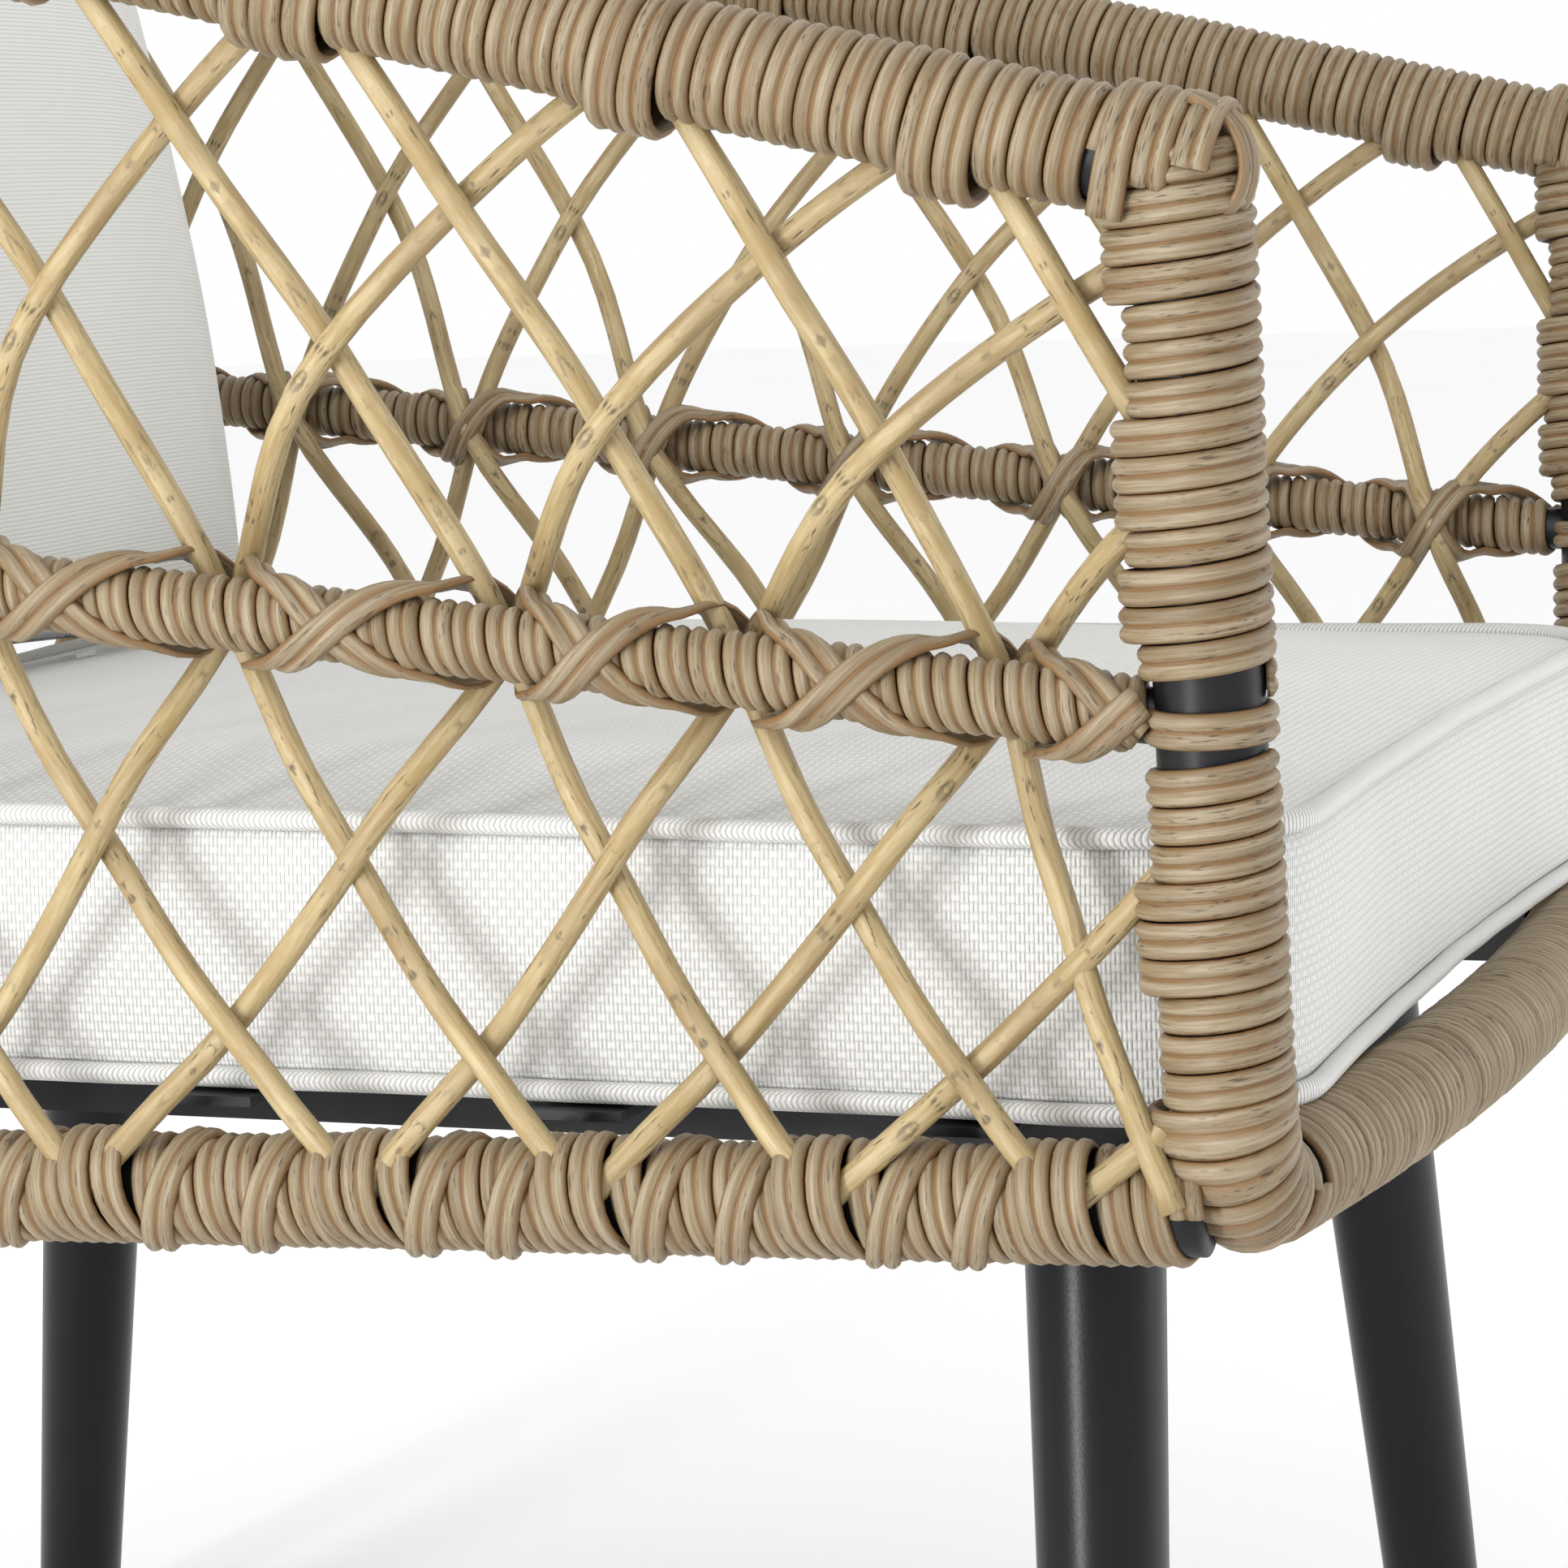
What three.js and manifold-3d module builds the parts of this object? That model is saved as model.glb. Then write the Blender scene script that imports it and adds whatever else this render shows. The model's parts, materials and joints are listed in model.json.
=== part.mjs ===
// Patio armchair: black steel tube frame wrapped in resin wicker, open lattice arms and back,
// a boxed seat cushion and a loose back pillow. Millimetres, +Z up, the chair faces -Y.
import * as THREE from 'three';
import { mergeVertices } from 'three/addons/utils/BufferGeometryUtils.js';
import Module from 'manifold-3d';

const wasm = await Module();
wasm.setup();

// ---- driving dimensions -------------------------------------------------------------------
const RAIL_HEIGHT = 344;        // centre of the front rail and of the seat rail's front end
const ARM_SPAN = 595;           // between the arm planes, centre to centre, at rail height
const SEAT_DEPTH = 655;         // front post to the centre of the seat rail's back stretch
const MID_HEIGHT = 482;         // centre of the middle rail at the front post
const ARM_HEIGHT = 634;         // centre of the top rail at the front post
const FLARE = 3.1;              // degrees that the arm planes lean outwards
const RAKE = 0.9;               // degrees that the front posts lean backwards
const RECLINE = 10;             // degrees that the back leans backwards
const SEAT_SLOPE = -1.6;        // degrees that each rail climbs towards the back
const MID_SLOPE = 5.6;
const ARM_SLOPE = 13.1;
const REAR_RADIUS = 60;         // plan radius of the rails at the rear corners
const POST_BEND = 32;           // bend between a front post and the front rail
const FRONT_BOW = 18;           // how far the middle of the front rail stands forward

const GAP = 0.3;                // between touching pieces
const FRAME_TUBE = 15.5;        // outer radii of the steel tubes
const RAIL_TUBE = 14;
const MID_TUBE = 8;
const UPRIGHT_TUBE = 10;
const TUBE_WALL = 1.5;
const STRIP = 3;                // thickness of the wicker wound round a tube
const POST_WRAP = FRAME_TUBE + STRIP + 0.5;
const FRONT_WRAP = FRAME_TUBE + STRIP - 0.5;
const RAIL_WRAP = RAIL_TUBE + STRIP;
const MID_WRAP = MID_TUBE + STRIP;
const UPRIGHT_WRAP = UPRIGHT_TUBE + STRIP;
const JOINT_GAP = 26;           // bare steel left on a front post where the middle rail meets it

const STRAND = 4;               // radius of a lattice strand
const SEAT_TIES = 24;           // ties along the seat rail, one fewer on each rail above it
const SEAT_MARGIN = 42;         // front post to the first tie, on the seat, middle and top rails
const MID_MARGIN = 63;
const TOP_MARGIN = 65;
const CORNER_TUCK = 13;         // where the foremost strand is tucked in beside the post's foot
const SEAT_STRAY = [3, -2, -6, -11, 5, 2];   // how far each hand-made tie strays, from the front back
const MID_STRAY = [0, -2, -13, -5];
const TOP_STRAY = [0, 0, 12, 5];
const CROSSING = 3.6;           // half the distance between the two layers of strands
const STRAND_OUT = 5;           // how far outside the seat rail's centre the strands end
const TOP_ARCH = 0.38;          // how much a strand's slope changes above and below the middle rail
const LOW_ARCH = 0.34;
const CORNER_REACH = 60;        // length of the woven corner block along the top rail
const CORNER_DROP = 24;         // and down the front post
const CORNER_LAYER = 0.6;       // how much thicker it is than the rail's wrapping

const BEARER_SPACING = 360;     // between the two bearers that carry the legs
const BEARER = 24;              // side of the square bearer tube
const SLAT_WIDTH = 34;
const SLAT_THICKNESS = 3;
const SLATS = 5;
const SLAT_LAP = 4;             // how far a slat's ends lie over the side rails

const LEG_TOP = 22.3;           // radii of a leg at its top and at its foot
const LEG_FOOT = 17;
const LEG_WALL = 2;
const LEG_OVER = 20;            // a leg is made this much too long and cut flush with its plate
const FRONT_LEG_INSET = 75;     // front post to the front legs, at rail height
const REAR_LEG_INSET = 44;      // seat rail's back stretch to the rear legs, at rail height
const LEG_SPLAY = 11.5;         // degrees sideways, all four
const FRONT_LEG_RAKE = 3.5;     // degrees forwards
const REAR_LEG_RAKE = 11;       // degrees backwards
const PLATE = 54;               // side of the square leg plate
const PLATE_THICKNESS = 4;
const SPIGOT = 16;              // radius and length of the spigot that a leg slips over
const SPIGOT_LENGTH = 40;
const GLIDE = 8;                // height of the foot glide

const CUSHION_WIDTH = 560;
const CUSHION_DEPTH = 628;
const CUSHION_HEIGHT = 80;      // between the two welts, centre to centre
const CUSHION_CORNER = 58;
const CUSHION_FRONT = 8;        // how far the cushion stands in front of the posts' centres
const CUSHION_LIFT = 1;         // clear of the slats
const WELT = 3.2;               // radius of the piped welt
const EDGE = 7;                 // chamfer along the cushion's edges, where the welt sits
const CLOTH = 2;
const PILLOW_WIDTH = 490;
const PILLOW_HEIGHT = 400;
const PILLOW_THICKNESS = 140;
const PILLOW_LEAN = 12;         // degrees
const PILLOW_GAP = 6;           // clear of the back's lattice
const ZIP = 7;                  // width of a zip's opening
const ZIP_RUN = 300;            // how far the seat cushion's zip opens
const PILLOW_ZIP_RUN = 180;
const ZIP_END = 20;             // the slot behind a zip is this much longer than its run
const FINEST = 0.02;            // detail smaller than this is dropped from every solid

const SIDES = 8;                // facets round a tube, and stations round a rear corner
const CORNER_TURNS = 4;
const STRAND_SIDES = 4;
const WELT_SIDES = 6;
const REGION = 4000;            // larger than the chair, for the regions that bodies are cut with

// ---- colours ------------------------------------------------------------------------------
const WICKER = { color: 0xb0966f, roughness: 0.62, metalness: 0 };
const STEEL = { color: 0x26282b, roughness: 0.45, metalness: 0.55 };
const LEG_PAINT = { color: 0x232529, roughness: 0.42, metalness: 0.4 };
const RUBBER = { color: 0x17181a, roughness: 0.8, metalness: 0 };
const SEAT_CLOTH = { color: 0xe9e8e3, roughness: 0.9, metalness: 0 };
const PILLOW_CLOTH = { color: 0xdfdfdb, roughness: 0.92, metalness: 0 };
const FOAM = { color: 0xf0ead6, roughness: 1, metalness: 0 };
const ZIP_METAL = { color: 0xb9babc, roughness: 0.35, metalness: 0.9 };

const radians = THREE.MathUtils.degToRad;
const slope = (degrees) => Math.tan(radians(degrees));
const vec = (x, y, z) => new THREE.Vector3(x, y, z);

// ---- solids -------------------------------------------------------------------------------
/** A closed three.js geometry as a manifold solid. */
function solid(geometry) {
  const bare = geometry.index ? geometry.toNonIndexed() : geometry;
  bare.deleteAttribute('normal');
  bare.deleteAttribute('uv');
  const merged = mergeVertices(bare, 1e-4);
  return new wasm.Manifold(new wasm.Mesh({
    numProp: 3,
    vertProperties: Float32Array.from(merged.attributes.position.array),
    triVerts: Uint32Array.from(merged.index.array),
  }));
}

/** A manifold solid as a three.js geometry. */
function geometryOf(body) {
  const mesh = body.simplify(FINEST).getMesh();
  const geometry = new THREE.BufferGeometry();
  geometry.setAttribute('position', new THREE.BufferAttribute(Float32Array.from(mesh.vertProperties), 3));
  geometry.setIndex([...mesh.triVerts]);
  geometry.computeVertexNormals();
  return geometry;
}

/** An open path through given stations, which a section is swept along. */
class StationPath extends THREE.Curve {
  constructor(stations) {
    super();
    this.stations = stations;
  }

  getSpacedPoints() {
    return this.stations;
  }

  getTangentAt(u, target = new THREE.Vector3()) {
    const last = this.stations.length - 1;
    const at = Math.round(u * last);
    const before = this.stations[Math.max(at - 1, 0)];
    const here = this.stations[at];
    const after = this.stations[Math.min(at + 1, last)];
    const towards = at > 0 ? here.clone().sub(before).normalize() : vec(0, 0, 0);
    const onwards = at < last ? after.clone().sub(here).normalize() : vec(0, 0, 0);
    return target.copy(towards.add(onwards)).normalize();
  }
}

/** A regular polygon whose flats stand at the given radius. */
function polygon(radius, sides) {
  const corner = radius / Math.cos(Math.PI / sides);
  return Array.from({ length: sides }, (_, i) => {
    const angle = ((i + 0.5) / sides) * 2 * Math.PI;
    return new THREE.Vector2(corner * Math.cos(angle), corner * Math.sin(angle));
  });
}

/** A round bar along the stations, or a tube when it has an inner radius. */
function sweep(stations, radius, sides = SIDES, inner = 0) {
  const section = new THREE.Shape(polygon(radius, sides));
  if (inner > 0) section.holes.push(new THREE.Path(polygon(inner, sides)));
  return solid(new THREE.ExtrudeGeometry(section, {
    extrudePath: new StationPath(stations),
    steps: stations.length - 1,
    bevelEnabled: false,
  }));
}

/** The largest piece of a body that cuts have left in several. */
const main = (body) => body.decompose().sort((a, b) => b.volume() - a.volume())[0];

const block = (width, depth, height, centre) =>
  solid(new THREE.BoxGeometry(width, depth, height)).translate([centre.x, centre.y, centre.z]);

/** Everything above, or below, a level. */
const above = (z) => block(REGION, REGION, REGION, vec(0, 0, z + REGION / 2));
const below = (z) => block(REGION, REGION, REGION, vec(0, 0, z - REGION / 2));
const mirror = (body) => body.mirror([1, 0, 0]);

// ---- rails --------------------------------------------------------------------------------
const armX = (z) => ARM_SPAN / 2 + (z - RAIL_HEIGHT) * slope(FLARE);
const postY = (z) => (z - RAIL_HEIGHT) * slope(RAKE);

/** One rail that runs back from the left post, round the back and forward to the right post. */
class Rail {
  constructor(height, climb, ties, margin, stray) {
    this.height = height;
    this.climb = slope(climb);
    this.ties = ties;
    this.margin = margin;
    this.stray = stray;
    this.front = postY(height);
    // The back leans, so a higher rail reaches further back, and it climbs as it goes.
    const lean = slope(RECLINE);
    this.back = (SEAT_DEPTH + (this.levelAt(0) - RAIL_HEIGHT) * lean) / (1 - this.climb * lean);
    this.halfBack = armX(this.levelAt(this.back));
    this.stations = this.outline();
    this.lengths = this.stations.map(() => 0);
    for (let i = 1; i < this.stations.length; i += 1) {
      this.lengths[i] = this.lengths[i - 1] + this.stations[i].distanceTo(this.stations[i - 1]);
    }
    this.length = this.lengths.at(-1);
  }

  levelAt(y) {
    return this.height + (y - this.front) * this.climb;
  }

  /** The left half, mirrored onto the right. */
  outline() {
    const left = [this.sidePoint(this.front)];
    const turns = CORNER_TURNS;
    for (let i = 0; i <= turns; i += 1) {
      const angle = (i / turns) * (Math.PI / 2);
      const y = this.back - REAR_RADIUS * (1 - Math.sin(angle));
      const x = -this.halfBack + REAR_RADIUS * (1 - Math.cos(angle));
      left.push(vec(x, y, this.levelAt(y)));
    }
    const right = left.map((p) => vec(-p.x, p.y, p.z)).reverse();
    return [...left, ...right];
  }

  sidePoint(y) {
    const z = this.levelAt(y);
    return vec(-armX(z), y, z);
  }

  /** The point at a distance along the rail; before or past its ends it runs on straight. */
  at(distance) {
    const s = distance > this.length / 2 ? this.length - distance : distance;
    let i = 1;
    while (i < this.lengths.length - 1 && this.lengths[i] < s) i += 1;
    const share = (s - this.lengths[i - 1]) / (this.lengths[i] - this.lengths[i - 1]);
    const point = this.stations[i - 1].clone().lerp(this.stations[i], share);
    return distance > this.length / 2 ? vec(-point.x, point.y, point.z) : point;
  }

  /** Where tie k is, as a share of the rail's length; both arms are tied alike. */
  tie(k) {
    const last = this.ties - 1;
    const pitch = (this.length - 2 * this.margin) / last;
    const fromFront = Math.min(k, last - k);
    const tucked = this === seatRail && fromFront === -1;
    const distance = tucked ? CORNER_TUCK : this.margin + pitch * fromFront + (this.stray[fromFront] ?? 0);
    return (k <= last - k ? distance : this.length - distance) / this.length;
  }

  /** The stations between two distances. */
  between(from, to) {
    const inside = this.stations.filter((_, i) => this.lengths[i] > from + 1 && this.lengths[i] < to - 1);
    return [this.at(from), ...inside, this.at(to)];
  }

  /** Distance along the rail to the middle of the left rear corner. */
  get corner() {
    return (this.lengths[1] + this.lengths[1 + CORNER_TURNS]) / 2;
  }
}

const seatRail = new Rail(RAIL_HEIGHT, SEAT_SLOPE, SEAT_TIES, SEAT_MARGIN, SEAT_STRAY);
const midRail = new Rail(MID_HEIGHT, MID_SLOPE, SEAT_TIES - 1, MID_MARGIN, MID_STRAY);
const topRail = new Rail(ARM_HEIGHT, ARM_SLOPE, SEAT_TIES - 2, TOP_MARGIN, TOP_STRAY);

// The left rear upright stands between these points of the three rails.
const [foot, waist, head] = [seatRail, midRail, topRail].map((rail) => rail.at(rail.corner));

/** The left post from its top down, with its bend, and the bowed front rail to the middle. */
function frontFrameStations() {
  const bendTop = RAIL_HEIGHT + POST_BEND;
  const points = [vec(-armX(ARM_HEIGHT), postY(ARM_HEIGHT), ARM_HEIGHT)];
  const centreX = -armX(bendTop) + POST_BEND;
  for (let i = 0; i <= CORNER_TURNS; i += 1) {
    const angle = (i / CORNER_TURNS) * (Math.PI / 2);
    points.push(vec(centreX - POST_BEND * Math.cos(angle), 0, bendTop - POST_BEND * Math.sin(angle)));
  }
  const straight = 3;
  for (let i = 1; i <= straight; i += 1) {
    const x = centreX * (1 - i / straight);
    points.push(vec(x, -FRONT_BOW * (1 - (x / centreX) ** 2), RAIL_HEIGHT));
  }
  const mirrored = points.slice(0, -1).map((p) => vec(-p.x, p.y, p.z)).reverse();
  return [...points, ...mirrored];
}

const frontFrame = frontFrameStations();
const BEND_END = 1 + CORNER_TURNS;   // index of the station where the left bend ends

// ---- scene --------------------------------------------------------------------------------
const chair = new THREE.Group();

function add(name, body, finish) {
  const mesh = new THREE.Mesh(geometryOf(body), new THREE.MeshStandardMaterial(finish));
  mesh.name = name;
  chair.add(mesh);
}

/** A left piece and its mirror image on the right. */
function addPair(name, body, finish) {
  add(`${name}_left`, body, finish);
  add(`${name}_right`, mirror(body), finish);
}

/** The point a given distance from one end of a line towards the other. */
const shortOf = (end, other, distance) =>
  end.clone().addScaledVector(other.clone().sub(end).normalize(), distance);

// ---- steel tubes --------------------------------------------------------------------------
function buildTubes() {
  const frameSolid = sweep(frontFrame, FRAME_TUBE + GAP);
  const topSolid = sweep(topRail.stations, RAIL_TUBE + GAP);
  const tube = (stations, radius) => sweep(stations, radius, SIDES, radius - TUBE_WALL);
  add('front_frame_tube', tube(frontFrame, FRAME_TUBE).subtract(topSolid), STEEL);
  add('seat_rail_tube', tube(seatRail.stations, RAIL_TUBE).subtract(frameSolid), STEEL);
  add('middle_rail_tube', tube(midRail.stations, MID_TUBE).subtract(frameSolid), STEEL);
  add('top_rail_tube', tube(topRail.stations, RAIL_TUBE), STEEL);

  const rails = [[seatRail, RAIL_TUBE], [midRail, MID_TUBE], [topRail, RAIL_TUBE]]
    .map(([rail, radius]) => sweep(rail.stations, radius + GAP));
  const cut = (body) => rails.reduce((rest, rail) => rest.subtract(rail), body);
  const room = MID_TUBE + GAP;
  addPair('rear_upright_lower', cut(tube([foot, shortOf(waist, foot, room)], UPRIGHT_TUBE)), STEEL);
  addPair('rear_upright_upper', cut(tube([shortOf(waist, head, room), head], UPRIGHT_TUBE)), STEEL);
}

// ---- seat deck ----------------------------------------------------------------------------
// The slats lie level with the side rails, or higher where a thick front rail would touch the cushion.
const SLAT_TOP = RAIL_HEIGHT + Math.max(RAIL_WRAP, FRONT_WRAP - CUSHION_LIFT);
const BEARER_TOP = SLAT_TOP - SLAT_THICKNESS - GAP;
const BEARER_BOTTOM = BEARER_TOP - BEARER;

function buildDeck() {
  const rim = sweep(frontFrame, FRONT_WRAP + GAP).add(sweep(seatRail.stations, RAIL_WRAP + GAP));
  const rear = seatRail.back - RAIL_WRAP - GAP;
  const length = rear + FRONT_BOW;
  const centre = vec(-BEARER_SPACING / 2, (rear - FRONT_BOW) / 2, BEARER_TOP - BEARER / 2);
  const shell = block(BEARER, length, BEARER, centre)
    .subtract(block(BEARER - 2 * TUBE_WALL, length + 2, BEARER - 2 * TUBE_WALL, centre));
  addPair('seat_bearer', shell.subtract(rim), STEEL);

  const span = ARM_SPAN - 2 * (RAIL_WRAP - SLAT_LAP);
  for (let i = 0; i < SLATS; i += 1) {
    const y = SEAT_DEPTH * ((i + 0.7) / (SLATS + 0.4));
    const slat = block(span, SLAT_WIDTH, SLAT_THICKNESS, vec(0, y, SLAT_TOP - SLAT_THICKNESS / 2));
    add(`seat_slat_${i + 1}`, slat.subtract(rim), STEEL);
  }
}

// ---- legs ---------------------------------------------------------------------------------
/** A body turned on its own upright axis; its profile of radius and height runs down the outside. */
function turned(profile, sides = 16) {
  const points = profile.map(([r, z]) => new THREE.Vector2(r, z)).reverse();
  const geometry = new THREE.LatheGeometry([...points, points[0]], sides);
  return solid(geometry).rotate([90, 0, 0]);
}

/** One left leg with its plate and glide; the rake is backwards where it is positive. */
function buildLeg(name, y, rake) {
  const plateTop = BEARER_BOTTOM - GAP;
  const plateBottom = plateTop - PLATE_THICKNESS;
  const top = vec(-BEARER_SPACING / 2, y, plateBottom);
  const down = vec(-slope(LEG_SPLAY), slope(rake), -1).normalize();
  const turn = new THREE.Quaternion().setFromUnitVectors(vec(0, 0, 1), down.clone().negate());
  const matrix = new THREE.Matrix4().compose(top, turn, vec(1, 1, 1));
  const place = (body) => body.transform([...matrix.elements]);
  const reach = plateBottom / -down.z;
  const radiusAt = (along) => LEG_TOP + (LEG_FOOT - LEG_TOP) * (along / reach);
  const over = LEG_OVER;
  const end = reach - GLIDE;

  const leg = turned([[radiusAt(-over) - LEG_WALL, over], [radiusAt(-over), over],
    [radiusAt(end), -end], [radiusAt(end) - LEG_WALL, -end]]);
  addPair(`${name}_leg`, place(leg).subtract(above(plateBottom - GAP)), LEG_PAINT);

  const spigot = turned([[0, over], [SPIGOT, over], [SPIGOT, -SPIGOT_LENGTH], [0, -SPIGOT_LENGTH]]);
  const plate = block(PLATE, PLATE, PLATE_THICKNESS, vec(top.x, top.y, plateTop - PLATE_THICKNESS / 2));
  const stub = place(spigot).subtract(above(plateTop - PLATE_THICKNESS / 2));
  addPair(`${name}_leg_plate`, stub.add(plate), STEEL);

  const rim = radiusAt(reach) + 0.8;
  const plug = radiusAt(end) - LEG_WALL - GAP;
  const glide = turned([[0, -end + 12], [plug - 1, -end + 12], [plug, -end + 8], [plug, -end - GAP],
    [rim, -end - GAP], [rim, -reach - over], [0, -reach - over]]);
  addPair(`${name}_foot_glide`, place(glide).subtract(below(0)), RUBBER);
}

// ---- wicker wrapping ----------------------------------------------------------------------
const uprights = [[foot, shortOf(waist, foot, MID_WRAP + GAP)], [shortOf(waist, head, MID_WRAP + GAP), head]];
const uprightSolids = uprights.map((ends) => sweep(ends, UPRIGHT_WRAP + GAP));
const uprightTubes = [[foot, waist], [waist, head]].map((ends) => sweep(ends, UPRIGHT_TUBE + GAP));
const uprightJoint = sweep(
  [shortOf(waist, foot, 2 * MID_WRAP), shortOf(waist, head, 2 * MID_WRAP)],
  UPRIGHT_WRAP + GAP,
);

/** The rearward half-space beyond a rear upright, as a thick slab cut from corner to corner. */
function behindUpright(grow) {
  const up = head.clone().sub(foot).normalize();
  const diagonal = vec(-1, 1, 0).normalize();
  const normal = diagonal.clone().cross(up).normalize();
  const inwards = normal.x > 0 ? normal : normal.negate();
  const frame = new THREE.Matrix4().makeBasis(inwards, up.clone().cross(inwards).normalize(), up);
  frame.setPosition(foot.clone().addScaledVector(inwards, grow));
  const slab = new THREE.BoxGeometry(REGION, REGION, REGION).translate(REGION / 2, 0, 0);
  return solid(slab).transform([...frame.elements]);
}

const leftHalf = block(REGION, REGION, REGION, vec(-REGION / 2, 0, 0));
const cutSide = (body) => body.intersect(leftHalf).subtract(behindUpright(-GAP));
const cutBack = (body) => body.intersect(behindUpright(0)).intersect(mirror(behindUpright(0)));

/** The woven block that closes the corner between a front post and the top rail. */
function cornerBlock(grow) {
  const along = topRail.at(CORNER_REACH).sub(topRail.at(0)).normalize();
  const start = topRail.at(0).addScaledVector(along, -POST_WRAP - grow);
  const end = topRail.at(0).addScaledVector(along, CORNER_REACH - POST_WRAP + grow);
  const low = ARM_HEIGHT - CORNER_DROP;
  const drop = sweep([topRail.at(0), vec(-armX(low), postY(low), low - grow)], POST_WRAP + grow);
  return sweep([start, end], RAIL_WRAP + CORNER_LAYER + grow).add(drop);
}

function buildPostWraps() {
  const tubeRoom = sweep(frontFrame, FRAME_TUBE + GAP).add(sweep(seatRail.stations, RAIL_TUBE + GAP));
  const post = (radius) => sweep(frontFrame.slice(0, BEND_END + 1), radius);
  const sleeve = post(POST_WRAP).subtract(tubeRoom);
  const lower = sleeve.subtract(above(MID_HEIGHT - JOINT_GAP / 2));
  const upper = sleeve.subtract(below(MID_HEIGHT + JOINT_GAP / 2)).subtract(above(ARM_HEIGHT - RAIL_WRAP));
  addPair('wrap_post_lower', lower, WICKER);
  addPair('wrap_post_upper', upper.subtract(cornerBlock(GAP)), WICKER);

  const front = frontFrame.slice(BEND_END, -BEND_END);
  const ends = post(POST_WRAP + GAP).add(mirror(post(POST_WRAP + GAP)));
  add('wrap_front_rail', sweep(front, FRONT_WRAP).subtract(tubeRoom).subtract(ends), WICKER);
}

/** The wicker on one rail: a left, a back and a right stretch that part at the rear uprights. */
function buildRailWraps(name, rail, tubeRadius, front) {
  const whole = sweep(rail.stations, tubeRadius + STRIP).subtract(sweep(rail.stations, tubeRadius + GAP));
  // A rail as slim as the uprights parts at their wrapping; a thicker rail only makes room for them.
  const passing = tubeRadius < UPRIGHT_TUBE ? [uprightJoint] : uprightTubes;
  const sleeve = passing.reduce((rest, tube) => rest.subtract(tube).subtract(mirror(tube)), whole);
  addPair(`wrap_${name}_rail`, main(cutSide(sleeve).subtract(front)), WICKER);
  add(`wrap_${name}_rail_back`, main(cutBack(sleeve)), WICKER);
}

function buildUprightWraps() {
  const rails = [[seatRail, RAIL_WRAP], [midRail, MID_WRAP], [topRail, RAIL_WRAP]]
    .map(([rail, radius]) => sweep(rail.stations, radius + GAP));
  const names = ['wrap_upright_lower', 'wrap_upright_upper'];
  uprights.forEach((ends, i) => {
    const sleeve = sweep(ends, UPRIGHT_WRAP, SIDES, UPRIGHT_TUBE + GAP);
    addPair(names[i], rails.reduce((rest, rail) => rest.subtract(rail), sleeve), WICKER);
  });
}

function buildCorners() {
  const rail = sweep(topRail.between(0, 2 * CORNER_REACH), RAIL_TUBE + GAP);
  const tubes = sweep(frontFrame, FRAME_TUBE + GAP).add(rail);
  addPair('corner_weave', cornerBlock(0).subtract(tubes), WICKER);
}

// ---- lattice ------------------------------------------------------------------------------
/** How far round a strand has gone when it has come a share v of the way down. */
const leaveArched = (v) => (1 - TOP_ARCH) * v + TOP_ARCH * (1 - (1 - v) ** 2);
const arriveArched = (v) => (1 - LOW_ARCH) * v + LOW_ARCH * v ** 2;

/** The unit vector that points outwards from the panel at a share w of the way round. */
function outwards(rail, w) {
  const step = 4;
  const s = THREE.MathUtils.clamp(w, 0, 1) * rail.length;
  const along = rail.at(s + step).sub(rail.at(s - step));
  return vec(along.y, -along.x, 0).normalize().negate();
}

/**
 * Points of one strand. It starts at tie k of the top rail, passes inside the middle rail at
 * tie k + turn and ends at tie k + 2 * turn (plus or minus one) of the seat rail.
 */
function strandStations(k, forwards) {
  const top = topRail.tie(k);
  const pass = midRail.tie(forwards ? k - 1 : k + 2);
  const low = seatRail.tie(forwards ? k - 2 : k + 4);
  const layer = forwards ? CROSSING : -CROSSING;
  const inside = MID_WRAP + STRAND + 2 * GAP + CROSSING;
  const steps = 2;
  const points = [];
  const push = (upper, lower, w, v, out) => {
    const point = upper.at(w * upper.length).lerp(lower.at(w * lower.length), v);
    points.push(point.addScaledVector(outwards(lower, w), out));
  };
  for (let i = 0; i < steps; i += 1) {
    const v = i / steps;
    push(topRail, midRail, top + (pass - top) * leaveArched(v), v, layer * (1 - v) - inside * v ** 1.5);
  }
  for (let i = 0; i <= steps; i += 1) {
    const v = i / steps;
    const out = -inside * (1 - v) ** 1.5 + (STRAND_OUT + layer) * v;
    push(midRail, seatRail, pass + (low - pass) * arriveArched(v), v, out);
  }
  return points;
}

function buildLattice() {
  const strands = [];
  const beyond = 6;
  for (let k = -beyond; k < topRail.ties + beyond; k += 1) {
    for (const forwards of [true, false]) {
      strands.push(sweep(strandStations(k, forwards), STRAND, STRAND_SIDES));
    }
  }
  const keepOut = [
    sweep(seatRail.stations, RAIL_WRAP + GAP),
    sweep(midRail.stations, MID_WRAP + GAP),
    sweep(topRail.stations, RAIL_WRAP + GAP),
    sweep(frontFrame, POST_WRAP + GAP),
    cornerBlock(GAP),
    mirror(cornerBlock(GAP)),
    ...uprightSolids,
    ...uprightSolids.map(mirror),
  ];
  const woven = keepOut.reduce((rest, body) => rest.subtract(body), wasm.Manifold.union(strands));

  // Strands run past the posts and the uprights; each panel keeps what hangs together in its frame.
  const front = block(REGION, REGION, REGION, vec(0, POST_WRAP - REGION / 2, 0));
  addPair('lattice_side', main(cutSide(woven.subtract(front))), WICKER);
  add('lattice_back', main(cutBack(woven)), WICKER);
}

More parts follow.
